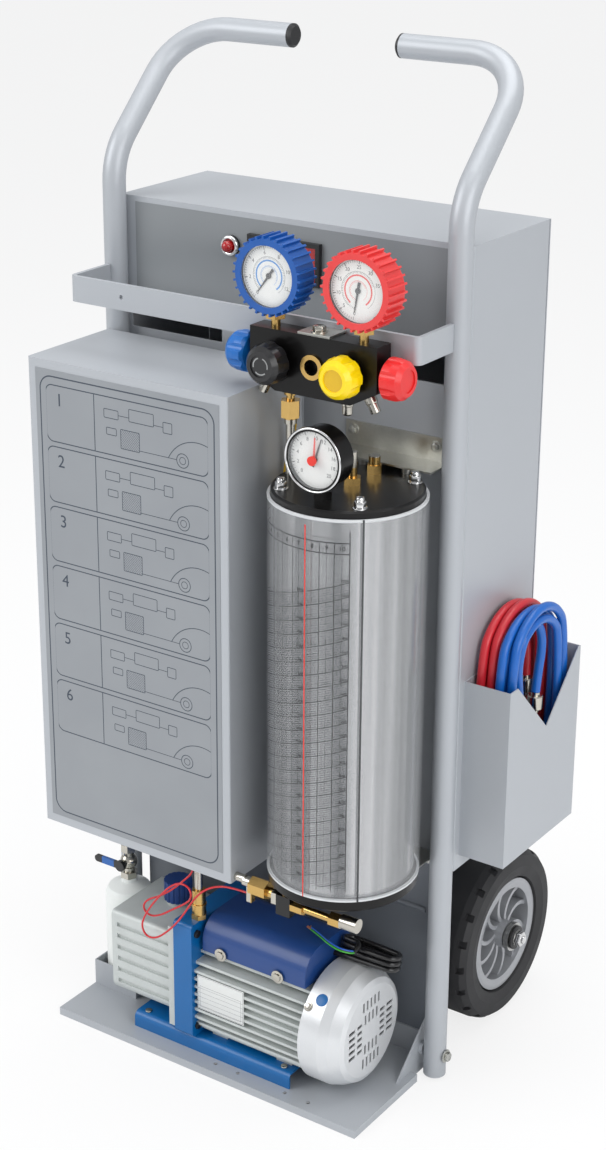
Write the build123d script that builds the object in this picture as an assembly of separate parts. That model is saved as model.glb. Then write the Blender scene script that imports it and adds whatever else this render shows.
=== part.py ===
from build123d import *
import math
import os

os.makedirs("parts", exist_ok=True)

# Air conditioning recharge station: a wheeled tube frame that carries a control cabinet, a service box,
# a gauge manifold, a charging cylinder, a two-stage vacuum pump and a hose pocket.
# All sizes are millimetres. Points are given in the machine's own frame: x across, y backwards from the
# plane of the two uprights, z up from the floor. save() moves everything to the centre of the footprint.

# Running and seating clearances
turn_gap = 0.3
fit_gap = 0.3
shaft_gap = 0.05

# Tube frame
tube_d = 26.9
tube_wall = 2.0
tube_spacing = 458.8
tube_foot_z = 4.0
lean_start_z = 1052.0
lean_run = 131.0
lean_radius = 75.0
grip_radius = 68.0
grip_gap = 147.4
grip_cap_head = 5.0
grip_cap_plug = 16.0

# Base tray
tray_width = 440.0
tray_front = 160.3
tray_height = 10.3
tray_sheet = 2.0
tray_notch_start = 24.0
tray_waist = 422.0
tray_flange_z = 44.0
gusset_run = 56.0
gusset_height = 50.2
frame_bolt_d = 8.4
frame_bolt_z = 32.0
tray_hole_d = 5.2
tray_hole_inset = 15.0
tray_hole_pairs = (28.1, 129.2)
tray_hole_pitch = 33.0

# Rear panel, axle and wheels
panel_sheet = 1.5
panel_bead_z = 210.0
panel_bead_r = 4.0
cheek_x = 150.0
cheek_sheet = 3.0
cheek_shelf = 90.0
axle_d = 20.0
axle_y = 168.0
axle_end = 243.0
axle_ring_d = 36.0
axle_ring_length = 6.0
wheel_d = 220.0
wheel_width = 70.0
wheel_outer_x = 232.0
rim_d = 143.0
rim_seat_d = 128.0
rim_barrel_wall = 5.0
rim_width = 60.0
hub_d = 34.0
spoke_count = 10
spoke_thickness = 5.0
spoke_width = 22.0
lug_count = 20
lug_groove = 9.0

# Control cabinet
cabinet_left = -231.0
cabinet_right = 237.6
cabinet_depth = 165.5
cabinet_bottom = 272.0
cabinet_top = 1005.4
cabinet_sheet = 1.5
window_inner = 88.0
window_width = 130.0
window_low = 851.2
window_high = 889.0
control_film_low = 893.0
control_film_high = 999.0
control_film_half = 210.0
film_thickness = 0.4
lamp_x = -73.0
lamp_z = 966.0
lamp_bezel_d = 23.0
lamp_hole_d = 16.0
meter_x = 0.0
meter_z = 959.0
meter_width = 96.0
meter_height = 48.0
meter_bezel = 6.0
meter_body_depth = 62.0
switch_x = 108.0
switch_z = 958.0
switch_width = 24.0
switch_height = 32.0
switch_travel_deg = 12.0

# Service box on the left
box_left = -232.5
box_right = 43.6
box_front = 155.8
box_low = 271.0
box_high = 851.0
box_sheet = 1.2
box_margin = 10.5

# Recovery unit inside the service box
compressor_d = 116.0
compressor_height = 164.0
compressor_x = -100.0
compressor_y = -84.0
separator_d = 56.0
separator_height = 226.0
skirt = 14.0
drier_d = 48.0
drier_length = 136.0
drier_x = -62.0
drier_y = -70.0
shelf_z = 700.0
shelf_sheet = 2.0
shelf_inset = 20.0
shelf_front = 12.0

# Hose pocket
pocket_y0 = 24.8
pocket_y1 = 191.0
pocket_depth = 58.7
pocket_low = 289.5
pocket_high = 508.8
pocket_sheet = 1.2
pocket_lip = 17.0
pocket_notch_depth = 74.0

# Gauge rail and manifold
rail_front = 81.0
rail_thickness = 5.0
rail_low = 898.3
rail_high = 928.3
rail_corner = 8.0
rail_hole_x = -157.3
bracket_sheet = 2.0
block_x = 122.5
block_length = 158.4
block_depth = 26.0
block_y = -101.0
block_low = 854.0
block_high = 920.3
block_chamfer_x = 32.0
block_chamfer_z = 17.0
tab_width = 40.0
knob_d = 45.0
knob_length = 25.0
knob_standoff = 5.5
knob_flutes = 8
knob_offset = 45.4
knob_stem_d = 8.0
knob_stem_depth = 12.0
knob_disc_d = 24.0
nipple_d = 13.0
nipple_length = 15.0
nipple_offset = 36.0
sight_d = 27.0
sight_bore_d = 17.0

# Manifold gauges
gauge_offset = 55.0
gauge_z = 976.0
gauge_case_d = 73.0
gauge_case_depth = 27.0
gauge_front_y = -117.0
gauge_recess = 4.0
gauge_window_d = 67.0
boot_wall = 2.6
boot_rib = 3.2
boot_ribs = 30
boot_lip = 2.2
lens_thickness = 1.5
stem_hex = 20.0
stem_thread_d = 10.0
stem_thread_depth = 8.0
pointer_thickness = 0.6
pointer_shaft_d = 1.6

# Charging cylinder
cyl_x = 153.5
cyl_y = -90.0
vessel_d = 160.0
shroud_d = 172.8
shroud_wall = 3.2
flange_d = 165.0
foot_flange_d = 170.0
vessel_low = 303.0
vessel_high = 745.0
flange_thickness = 12.0
shroud_top = 749.0
cylinder_bracket_reach = 70.0
bracket_gap = 0.45
cylinder_bracket_z = 763.0
cylinder_bracket_rise = 29.0
cylinder_ledge_front = -25.0
foot_ledge_front = -66.0
cyl_gauge_y = -158.0
cyl_gauge_z = 803.4
cyl_gauge_d = 66.0
cyl_gauge_bezel_d = 71.0
cyl_gauge_depth = 27.0
cyl_gauge_stem_y = -138.0
train_y = -145.0
train_drop = 13.0
train_valve_reach = 80.0

# Vacuum pump
pump_y = -80.0
pump_z = 90.0
pump_base_left = -118.0
pump_base_right = 113.0
pump_base_width = 114.6
pump_base_height = 20.2
pump_base_sheet = 2.5
pump_flange_x = -52.0
pump_flange_thickness = 27.0
pump_flange_width = 124.0
pump_flange_top = 184.0
case_length = 91.0
case_width = 104.0
case_low = 46.0
case_high = 158.0
case_grooves = 6
case_groove_depth = 3.0
gasket_length = 12.0
gasket_width = 114.0
motor_length = 161.0
motor_core_d = 100.0
motor_fin_reach = 57.0
motor_fin_circle_d = 136.0
motor_fin_count = 11
motor_fin_pitch = 10.5
motor_fin_thickness = 3.6
fan_cover_d = 149.0
fan_cover_length = 53.0
fan_cover_wall = 1.8
fan_barrel = 26.0
fan_face_d = 114.0
fan_shoulder_d = 133.0
fan_shaft_d = 12.0
fan_d = 122.0
fan_hub_d = 26.0
fan_blades = 8
fan_hub_length = 16.0
fan_shaft_length = 24.0
cover_low = 149.0
cover_high = 191.0
cover_half = 49.0
cover_round = 30.0
cover_gap = 7.0
oil_cap_x = -101.0
oil_cap_y = -68.0
oil_cap_d = 35.0
oil_cap_height = 26.0
oil_neck_height = 5.0
oil_cap_grips = 16
intake_x = -31.0
intake_y = -118.0
pipe_d = 10.0

# Oil bottle and its ball valve
bottle_x = -186.0
bottle_y = -58.5
bottle_d = 60.0
bottle_shoulder_z = 142.0
bottle_neck_z = 161.0
bottle_neck_d = 20.0
bottle_tray_wall = 1.2
bottle_tray_height = 35.0
lever_z = 183.0
lever_length = 40.0
lever_width = 9.0
lever_thickness = 4.0
valve_rise = 24.0

# Service hoses, mains lead and sensor wire
hose_d = 10.7
hose_bundle = 22.0
hose_loop_half_y = 70.0
hose_loop_half_z = 146.0
hose_loop_y = 108.0
coupling_d = 18.0
coupling_length = 17.0
lead_coil_x0 = 130.5
lead_coil_length = 80.0
lead_coil_width = 30.0
lead_coil_height = 24.0
lead_coil_roll = 18.0
lead_tail_d = 5.0
wire_d = 2.4

# Values that follow from the ones above
tube_r = tube_d / 2
tube_x = tube_spacing / 2
cabinet_front = tube_r + turn_gap
cabinet_back = cabinet_front + cabinet_depth
box_rear = -(tube_r + turn_gap)
grip_z = lean_start_z + lean_run
wheel_r = wheel_d / 2
wheel_x = wheel_outer_x - wheel_width / 2
axle_z = wheel_r
panel_y = tube_r + turn_gap
block_rear = block_y + block_depth / 2
block_front = block_y - block_depth / 2
knob_z = (block_low + block_high) / 2
flange_top = vessel_high + flange_thickness
foot_flange_low = vessel_low - flange_thickness - 1.0
train_valve_end = box_right + train_valve_reach
gauge_floor_y = gauge_front_y + gauge_recess
base_top = tray_height + pump_base_height
motor_x0 = pump_flange_x + pump_flange_thickness
fan_x0 = motor_x0 + motor_length
case_x1 = pump_flange_x - gasket_length
hose_loop_z = pocket_low + pocket_sheet + hose_loop_half_z
origin_x = (cabinet_right + pocket_depth - axle_end) / 2
origin_y = (axle_y + wheel_r + cyl_y - shroud_d / 2) / 2


def slab(x0, x1, y0, y1, z0, z1):
    size = Box(x1 - x0, y1 - y0, z1 - z0)
    return Pos((x0 + x1) / 2, (y0 + y1) / 2, (z0 + z1) / 2) * size


def rod_x(radius, x0, x1, y, z):
    return Pos((x0 + x1) / 2, y, z) * Rot(0, 90, 0) * Cylinder(radius, x1 - x0)


def rod_y(radius, y0, y1, x, z):
    return Pos(x, (y0 + y1) / 2, z) * Rot(90, 0, 0) * Cylinder(radius, y1 - y0)


def rod_z(radius, z0, z1, x, y):
    return Pos(x, y, (z0 + z1) / 2) * Cylinder(radius, z1 - z0)


def hex_z(across, z0, z1, x, y):
    outline = RegularPolygon(across / 2, 6, major_radius=False)
    return Pos(x, y, z0) * extrude(outline, z1 - z0)


def hex_x(across, x0, x1, y, z):
    outline = RegularPolygon(across / 2, 6, major_radius=False)
    return Pos(x0, y, z) * Rot(0, 90, 0) * extrude(outline, x1 - x0)


def profile_x(points, x0, x1):
    """A closed outline of (y, z) points extruded from x0 to x1."""
    face = make_face(Polyline(*[(x0, y, z) for y, z in points], close=True))
    return extrude(face, amount=x1 - x0, dir=(1, 0, 0))


def turned(points):
    """A closed outline of (radius, height) points turned about the z axis."""
    face = make_face(Polyline(*[(r, 0, z) for r, z in points], close=True))
    return revolve(face, Axis.Z)


def save(name, *solids):
    pieces = []
    for item in solids:
        pieces.extend(item.solids())
    moved = [Pos(-origin_x, -origin_y, 0) * piece for piece in pieces]
    shape = moved[0] if len(moved) == 1 else Compound(children=moved)
    export_step(shape, os.path.join("parts", name + ".step"))


# Uprights: one bent tube each, straight up, leaning back over the cabinet, then turned inwards as a grip
def upright(side):
    x = side * tube_x
    path = FilletPolyline(
        (x, 0, tube_foot_z),
        (x, 0, lean_start_z),
        (x, lean_run, grip_z),
        (side * grip_gap / 2, lean_run, grip_z),
        radius=[lean_radius, grip_radius],
    )
    section = Circle(tube_r) - Circle(tube_r - tube_wall)
    tube = sweep(Plane(origin=(x, 0, tube_foot_z), z_dir=(0, 0, 1)) * section, path)
    return tube - rod_x(frame_bolt_d / 2, x - tube_d, x + tube_d, 0, frame_bolt_z)


def grip_cap(side):
    end = grip_gap / 2
    bore = tube_r - tube_wall - shaft_gap
    head = turned([(0, 0), (tube_r, 0), (tube_r, 2.4), (tube_r - 3, grip_cap_head), (0, grip_cap_head)])
    plug = Pos(0, 0, -grip_cap_plug / 2) * Cylinder(bore, grip_cap_plug)
    return Pos(side * end, lean_run, grip_z) * Rot(0, -side * 90, 0) * (head + plug)


save("upright_left", upright(-1))
save("upright_right", upright(1))
save("grip_caps", grip_cap(-1), grip_cap(1))


# Base tray: one folded sheet with a turned-down rim, a raised rear flange and a gusset beside each upright
def tray_outline(inset):
    front = -tray_front + inset
    wide = tray_width / 2 - inset
    waist = tray_waist / 2 - inset
    rear = panel_y - inset
    notch = -tray_notch_start - inset
    return [(-wide, front), (wide, front), (wide, notch), (waist, notch), (waist, rear),
            (-waist, rear), (-waist, notch), (-wide, notch)]


def tray_gusset(side):
    y0 = -gusset_run
    y1 = panel_y
    rise = gusset_height * (y1 - y0) / gusset_run
    outer = side * tray_waist / 2
    inner = outer - side * tray_sheet
    plate = profile_x([(y0, tray_height - 1), (y1, tray_height - 1), (y1, tray_height + rise)],
                      min(outer, inner), max(outer, inner))
    seat = side * (tube_x - tube_r - fit_gap)
    boss = rod_x(frame_bolt_d, min(outer, seat), max(outer, seat), 0, frame_bolt_z)
    return plate + boss - rod_x(frame_bolt_d / 2, side * tube_x - 30, side * tube_x + 30, 0, frame_bolt_z)


def bottle_stand():
    half = bottle_d / 2 + 1.5
    x0 = bottle_x - half - bottle_tray_wall
    x1 = bottle_x + half + bottle_tray_wall
    y0 = bottle_y - half - bottle_tray_wall
    y1 = bottle_y + half + bottle_tray_wall
    top = tray_height + bottle_tray_height
    outside = slab(x0, x1, y0, y1, tray_height - 1, top)
    inside = slab(x0 + bottle_tray_wall, x1 - bottle_tray_wall, y0 + bottle_tray_wall,
                  y1 - bottle_tray_wall, tray_height, top + 2 * gusset_height)
    return outside, inside


tray = extrude(make_face(Polyline(*tray_outline(0), close=True)), tray_height)
tray -= extrude(make_face(Polyline(*tray_outline(tray_sheet), close=True)), tray_height - tray_sheet)
tray += slab(-tray_waist / 2, tray_waist / 2, panel_y - tray_sheet, panel_y, tray_height - 1, tray_flange_z)
for side in (-1, 1):
    tray += tray_gusset(side)
stand, stand_room = bottle_stand()
tray += stand
tray -= stand_room & slab(-tray_width, 0, -tray_front, 0, tray_height, 2 * tray_flange_z + tray_height)
tray += stand - stand_room
for middle in tray_hole_pairs:
    for step in (-0.5, 0.5):
        hole_x = middle + step * tray_hole_pitch
        tray -= rod_z(tray_hole_d / 2, 0, 2 * tray_height, hole_x, -tray_front + tray_hole_inset)
save("base_tray", tray)

# Rear panel: a sheet from the tray up to the cabinet floor, with two cheeks that carry the axle
panel = slab(-tray_waist / 2, tray_waist / 2, panel_y, panel_y + panel_sheet, 2.0, cabinet_bottom)
panel += rod_x(panel_bead_r, -tray_waist / 2 + 8, tray_waist / 2 - 8, panel_y + 1.0, panel_bead_z)
panel += slab(-tray_waist / 2, tray_waist / 2, panel_y, panel_y + cheek_shelf,
              cabinet_bottom - panel_sheet, cabinet_bottom)
cheek_points = [(panel_y + 1, cabinet_bottom - 0.5), (cabinet_back - 6, cabinet_bottom - 0.5),
                (axle_y + axle_d, axle_z + axle_d), (axle_y + axle_d, axle_z - axle_d),
                (axle_y - axle_d, axle_z - axle_d), (panel_y + 1, 60.0)]
for side in (-1, 1):
    cheek_in = side * cheek_x - cheek_sheet / 2
    cheek = profile_x(cheek_points, cheek_in, cheek_in + cheek_sheet)
    panel += cheek - rod_x(axle_d / 2 + shaft_gap, cheek_in - 1, cheek_in + cheek_sheet + 1, axle_y, axle_z)
save("rear_panel", panel)

# Axle: a plain shaft with a push-on ring that keeps each wheel on
axle = rod_x(axle_d / 2, -axle_end, axle_end, axle_y, axle_z)
ring_x = wheel_outer_x + 1.5
rings = []
for side in (-1, 1):
    a, b = sorted((side * ring_x, side * (ring_x + axle_ring_length)))
    ring = rod_x(axle_ring_d / 2, a, b, axle_y, axle_z) - rod_x(axle_d / 2, a - 1, b + 1, axle_y, axle_z)
    rings.append(ring)
save("axle", axle, *rings)


# Wheels: a moulded rim with ten swept spokes, and a rubber tyre with blocks cut into its shoulders
def wheel_rim():
    seat = rim_seat_d / 2
    lip = rim_d / 2
    inner = seat - rim_barrel_wall
    half = rim_width / 2
    rim = turned([(inner, -half), (lip, -half), (lip, -half + 5), (seat, -half + 7),
                  (seat, half - 7), (lip, half - 5), (lip, half), (lip - 4, half + 1), (inner, half - 1)])
    hub_half = wheel_width / 2 - 1
    hub = Cylinder(hub_d / 2, 2 * hub_half)
    rim += hub
    reach = inner + 1
    for index in range(spoke_count):
        sweep_line = ThreePointArc((hub_d / 2 - 2, 0), (reach * 0.62, 9), (reach, -4))
        outline = trace(sweep_line, spoke_thickness)
        spoke = Pos(0, 0, half - 6 - spoke_width) * extrude(outline, spoke_width)
        rim += Rot(0, 0, index * 360 / spoke_count) * spoke
    rim += Pos(0, 0, -2) * (Cylinder(reach, 3) - Cylinder(hub_d / 2 - 1, 3))
    return rim - Cylinder(axle_d / 2 + turn_gap, 2 * wheel_width)


def wheel_tyre():
    seat = rim_seat_d / 2 + fit_gap
    lip = rim_d / 2 + fit_gap
    half = wheel_width / 2
    bead = rim_width / 2 - 7 - fit_gap
    outer = wheel_r
    shoulder = outer - 8
    points = [(seat, -bead), (lip, -bead), (lip + 3, -half + 3), (outer - 22, -half),
              (shoulder, -half + 1), (outer - 2, -half + 8), (outer, -half + 18),
              (outer, half - 18), (outer - 2, half - 8), (shoulder, half - 1),
              (outer - 22, half), (lip + 3, half - 3), (lip, bead), (seat, bead)]
    tyre = turned(points)
    groove = Box(22, lug_groove, 18)
    for index in range(lug_count):
        angle = index * 360 / lug_count
        high = Rot(0, 0, angle) * Pos(outer + 5, 0, half - 4) * groove
        low = Rot(0, 0, angle + 180 / lug_count) * Pos(outer + 5, 0, -half + 4) * groove
        tyre -= high
        tyre -= low
    return tyre


def place_wheel(piece, side):
    turn = Rot(0, 90, 0) if side > 0 else Rot(0, 0, 180) * Rot(0, 90, 0)
    return Pos(side * wheel_x, axle_y, axle_z) * turn * piece


rim_solid = wheel_rim()
tyre_solid = wheel_tyre()
save("wheel_left_rim", place_wheel(rim_solid, -1))
save("wheel_left_tyre", place_wheel(tyre_solid, -1))
save("wheel_right_rim", place_wheel(rim_solid, 1))
save("wheel_right_tyre", place_wheel(tyre_solid, 1))

# Control cabinet: a folded shell open at the back, with two windows under the control panel
inner_front = cabinet_front + cabinet_sheet
shell = slab(cabinet_left, cabinet_right, cabinet_front, cabinet_back - cabinet_sheet,
             cabinet_bottom, cabinet_top)
shell = fillet(shell.edges().filter_by(Axis.Z), 2.5)
shell -= slab(cabinet_left + cabinet_sheet, cabinet_right - cabinet_sheet, inner_front, cabinet_back,
              cabinet_bottom + cabinet_sheet, cabinet_top - cabinet_sheet)
for side in (-1, 1):
    w0, w1 = sorted((side * window_inner, side * (window_inner + window_width)))
    shell -= slab(w0, w1, cabinet_front - 1, inner_front + 1, window_low, window_high)
meter_cut = slab(meter_x - meter_width / 2 + 2, meter_x + meter_width / 2 - 2, cabinet_front - 2,
                 inner_front + 1, meter_z - meter_height / 2 + 2, meter_z + meter_height / 2 - 2)
switch_cut = slab(switch_x - switch_width / 2 + 2, switch_x + switch_width / 2 - 2, cabinet_front - 2,
                  inner_front + 1, switch_z - switch_height / 2 + 2, switch_z + switch_height / 2 - 2)
lamp_cut = rod_y(lamp_hole_d / 2 + shaft_gap, cabinet_front - 2, inner_front + 1, lamp_x, lamp_z)
shell -= meter_cut
shell -= switch_cut
shell -= lamp_cut
save("cabinet_shell", shell)

# Rear cover of the cabinet, with two rows of pressed vent slots
cover = slab(cabinet_left, cabinet_right, cabinet_back - cabinet_sheet, cabinet_back,
             cabinet_bottom, cabinet_top)
vent_count = 7
vent_pitch = 28.0
for row_z in (cabinet_top - 70, cabinet_bottom + 70):
    for index in range(vent_count):
        vent_x = (cabinet_left + cabinet_right) / 2 + (index - (vent_count - 1) / 2) * vent_pitch
        cover -= slab(vent_x - 2.5, vent_x + 2.5, cabinet_back - 3, cabinet_back + 1, row_z - 20, row_z + 20)
save("cabinet_back", cover)

# Control panel film, lamp, panel meter and mains switch
film = slab(-control_film_half, control_film_half, cabinet_front - film_thickness, cabinet_front,
            control_film_low, control_film_high)
film -= meter_cut
film -= switch_cut
film -= lamp_cut
save("control_film", film)

film_face = cabinet_front - film_thickness
lamp_lens_d = lamp_bezel_d - 6
lamp_bezel = rod_y(lamp_bezel_d / 2, film_face - 5, film_face, lamp_x, lamp_z)
lamp_bezel += rod_y(lamp_hole_d / 2 - shaft_gap, film_face - 1, inner_front + 24, lamp_x, lamp_z)
lamp_bezel -= rod_y(lamp_lens_d / 2 - 2, film_face - 6, film_face + 4, lamp_x, lamp_z)
lamp_lens = rod_y(lamp_lens_d / 2 - 2 - shaft_gap, film_face - 9, film_face + 4, lamp_x, lamp_z)
lens_dome = Pos(lamp_x, film_face - 9, lamp_z) * Sphere(lamp_lens_d / 2 - 2 - shaft_gap)
lamp_lens += lens_dome

meter_bezel_solid = slab(meter_x - meter_width / 2, meter_x + meter_width / 2, film_face - meter_bezel,
                         film_face, meter_z - meter_height / 2, meter_z + meter_height / 2)
meter_body = slab(meter_x - meter_width / 2 + 3, meter_x + meter_width / 2 - 3, film_face - 1,
                  film_face + meter_body_depth, meter_z - meter_height / 2 + 3,
                  meter_z + meter_height / 2 - 3)
window_frame = 5.0
window_depth = 3.0
meter_window = slab(meter_x - meter_width / 2 + window_frame, meter_x + meter_width / 2 - window_frame,
                    film_face - meter_bezel + 1, film_face - meter_bezel + 1 + window_depth,
                    meter_z - meter_height / 2 + window_frame, meter_z + meter_height / 2 - window_frame)
meter_recess = slab(meter_x - meter_width / 2 + window_frame, meter_x + meter_width / 2 - window_frame,
                    film_face - meter_bezel - 1, film_face - meter_bezel + 1 + window_depth,
                    meter_z - meter_height / 2 + window_frame, meter_z + meter_height / 2 - window_frame)
switch_frame = slab(switch_x - switch_width / 2, switch_x + switch_width / 2, film_face - 2.5, film_face,
                    switch_z - switch_height / 2, switch_z + switch_height / 2)
switch_frame += slab(switch_x - switch_width / 2 + 3, switch_x + switch_width / 2 - 3, film_face - 1,
                     film_face + 24, switch_z - switch_height / 2 + 3, switch_z + switch_height / 2 - 3)
rocker_half_x = switch_width / 2 - 4.5
rocker_half_z = switch_height / 2 - 4.5
switch_frame -= slab(switch_x - rocker_half_x - turn_gap, switch_x + rocker_half_x + turn_gap,
                     film_face - 3, film_face + 9, switch_z - rocker_half_z - 1, switch_z + rocker_half_z + 1)
save("panel_fittings", lamp_bezel, meter_bezel_solid + meter_body - meter_recess, switch_frame)
save("red_lenses", lamp_lens, meter_window)

# Mains rocker: a shallow V that tips about a pin across its middle
rocker_pivot_y = film_face + 4
rocker_rise = (rocker_half_z - 1) * math.tan(math.radians(switch_travel_deg / 2))
rocker = profile_x([(-5.5, 0), (-5.5 - rocker_rise, rocker_half_z - 1), (0.5, rocker_half_z - 1.5), (2.5, 0),
                    (0.5, 1.5 - rocker_half_z), (-5.5 - rocker_rise, 1 - rocker_half_z)],
                   -rocker_half_x, rocker_half_x)
rocker = Pos(switch_x, rocker_pivot_y, switch_z) * Rot(-switch_travel_deg / 2, 0, 0) * rocker
save("rocker_switch", rocker)

# Service box: a deep folded cover on a flat back plate, with a printed film on its front
box_back_face = box_rear - box_sheet
box_shell = slab(box_left, box_right, -box_front, box_back_face, box_low, box_high)
box_shell = fillet(box_shell.edges().filter_by(Axis.Z), 2.0)
box_shell -= slab(box_left + box_sheet, box_right - box_sheet, -box_front + box_sheet, box_rear,
                  box_low + box_sheet, box_high - box_sheet)
intake_hole = rod_z(pipe_d / 2 + fit_gap, box_low - 2, box_low + 4, intake_x, intake_y)
drain_hole = rod_z(pipe_d / 2 + fit_gap, box_low - 2, box_low + 4, bottle_x, bottle_y)
box_shell -= intake_hole
box_shell -= drain_hole
save("box_shell", box_shell)
save("box_back", slab(box_left, box_right, box_back_face, box_rear, box_low, box_high))
save("procedure_film", slab(box_left + box_margin, box_right - box_margin, -box_front - film_thickness,
                            -box_front, box_low + box_margin, box_high - box_margin))

# Recovery unit inside the box: a sealed compressor, an oil separator and a filter drier
unit_floor = box_low + box_sheet
body_r = compressor_d / 2
compressor = turned([(0, 0), (body_r, 0), (body_r, compressor_height * 0.73),
                     (body_r * 0.86, compressor_height * 0.9), (body_r * 0.52, compressor_height * 0.976),
                     (0, compressor_height)])
body_r = separator_d / 2
separator = turned([(0, skirt), (body_r - 10, skirt), (body_r - 10, 0), (body_r - 3, 0), (body_r, skirt + 8),
                    (body_r, separator_height - 16), (body_r - 8, separator_height - 4), (0, separator_height)])
body_r = drier_d / 2
drier = turned([(0, 0), (body_r / 2, 4), (body_r, 14), (body_r, drier_length - 16),
                (body_r / 2, drier_length - 4), (0, drier_length)])
shelf = slab(box_left + shelf_inset, box_right - shelf_inset, -box_front + shelf_front, box_back_face,
             shelf_z, shelf_z + shelf_sheet)
unit = [Pos(compressor_x, compressor_y, unit_floor) * compressor,
        Pos(bottle_x, bottle_y, unit_floor) * separator,
        Pos(drier_x, drier_y, shelf_z + shelf_sheet) * drier, shelf]
save("recovery_unit", *unit)

# Hose pocket: an open-topped box on the cabinet's side, its outer wall cut to a deep V
px0 = cabinet_right
px1 = cabinet_right + pocket_depth
pocket = slab(px0, px1, pocket_y0, pocket_y1, pocket_low, pocket_high)
pocket -= slab(px0 + pocket_sheet, px1 - pocket_sheet, pocket_y0 + pocket_sheet, pocket_y1 - pocket_sheet,
               pocket_low + pocket_sheet, pocket_high + 1)
notch_y0 = pocket_y0 + pocket_lip
notch_y1 = pocket_y1 - 4
notch_mid = (notch_y0 + notch_y1) / 2
pocket -= profile_x([(notch_y0, pocket_high + 1), (notch_mid, pocket_high - pocket_notch_depth),
                     (notch_y1, pocket_high + 1)], px1 - 2 * pocket_sheet, px1 + 1)
save("hose_pocket", pocket)

# Gauge rail: a flat bar bent to a shallow U and welded to the fronts of the uprights
rail_half = tube_x + rail_thickness / 2
rail_outer = slab(-rail_half, rail_half, -rail_front, box_rear, rail_low, rail_high)
corner_edges = rail_outer.edges().filter_by(Axis.Z).sort_by(Axis.Y)[:2]
rail_outer = fillet(corner_edges, rail_corner)
rail_inner = slab(-rail_half + rail_thickness, rail_half - rail_thickness, -rail_front + rail_thickness,
                  box_rear + 1, rail_low - 1, rail_high + 1)
inner_edges = rail_inner.edges().filter_by(Axis.Z).sort_by(Axis.Y)[:2]
rail_inner = fillet(inner_edges, rail_corner - rail_thickness)
rail = rail_outer - rail_inner
rail -= rod_y(2.6, -rail_front - 1, -rail_front + rail_thickness + 1, rail_hole_x, (rail_low + rail_high) / 2)
save("gauge_rail", rail)

# Manifold block: a long bar with two chamfered lower corners, bored for knobs, gauges, sight glass and ports
bx0 = block_x - block_length / 2
bx1 = block_x + block_length / 2
block_face = make_face(Polyline(
    (bx0, block_front, block_low + block_chamfer_z), (bx0 + block_chamfer_x, block_front, block_low),
    (bx1 - block_chamfer_x, block_front, block_low), (bx1, block_front, block_low + block_chamfer_z),
    (bx1, block_front, block_high), (bx0, block_front, block_high), close=True))
block = extrude(block_face, amount=block_depth, dir=(0, 1, 0))
stem_bore = knob_stem_d / 2 + turn_gap
for side in (-1, 1):
    block -= rod_y(stem_bore, block_front - 1, block_front + knob_stem_depth + 1,
                   block_x + side * knob_offset, knob_z)
    face_x = block_x + side * block_length / 2
    a, b = sorted((face_x + side, face_x - side * (knob_stem_depth + 1)))
    block -= rod_x(stem_bore, a, b, block_y, knob_z)
    block -= rod_z(stem_thread_d / 2 + shaft_gap, block_high - stem_thread_depth - 0.5, block_high + 1,
                   block_x + side * gauge_offset, block_y)
    block -= rod_z(nipple_d / 4 + shaft_gap, block_low - 1, block_low + 6.5,
                   block_x + side * nipple_offset, block_y)
block -= rod_y(sight_bore_d / 2, block_front - 1, block_front + 8, block_x, knob_z)
save("manifold_block", block)

# Fittings of the block: sight-glass ring, chromed hose nipples, and the feed union with its pipe
sight_ring = rod_y(sight_d / 2, block_front - 2.4, block_front, block_x, knob_z)
sight_ring -= rod_y(sight_bore_d / 2, block_front - 3, block_front + 1, block_x, knob_z)


def nipple():
    return turned([(0, 6), (nipple_d / 4, 6), (nipple_d / 4, 0), (nipple_d / 2, 0), (nipple_d / 2, -4.5),
                   (nipple_d / 2 - 1, -5.5), (nipple_d / 2 - 1, -nipple_length + 1.5),
                   (nipple_d / 2 - 2, -nipple_length), (0, -nipple_length)])


def chamfer_nipple(side):
    lean = math.degrees(math.atan2(block_chamfer_z, block_chamfer_x))
    x = block_x + side * (block_length / 2 - block_chamfer_x / 2)
    body = turned([(0, 0), (nipple_d / 2, 0), (nipple_d / 2, -6), (nipple_d / 2 - 1, -7),
                   (nipple_d / 2 - 1, -nipple_length - 2), (0, -nipple_length - 3)])
    return Pos(x, block_y, block_low + block_chamfer_z / 2) * Rot(0, -side * lean, 0) * body


feed_x = block_x - nipple_offset
feed = rod_z(7, block_low - 5, block_low, feed_x, block_y)
feed += rod_z(nipple_d / 4, block_low - 1, block_low + 6, feed_x, block_y)
feed += rod_z(4.5, block_low - 12, block_low - 4, feed_x, block_y)
feed += hex_z(19, block_low - 30, block_low - 11, feed_x, block_y)
feed += rod_z(7, block_low - 37, block_low - 29, feed_x, block_y)
feed += rod_z(5, flange_top, block_low - 36, feed_x, block_y)
save("block_fittings", sight_ring, Pos(block_x + nipple_offset, block_y, block_low) * nipple(),
     chamfer_nipple(-1), chamfer_nipple(1), feed)


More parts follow.
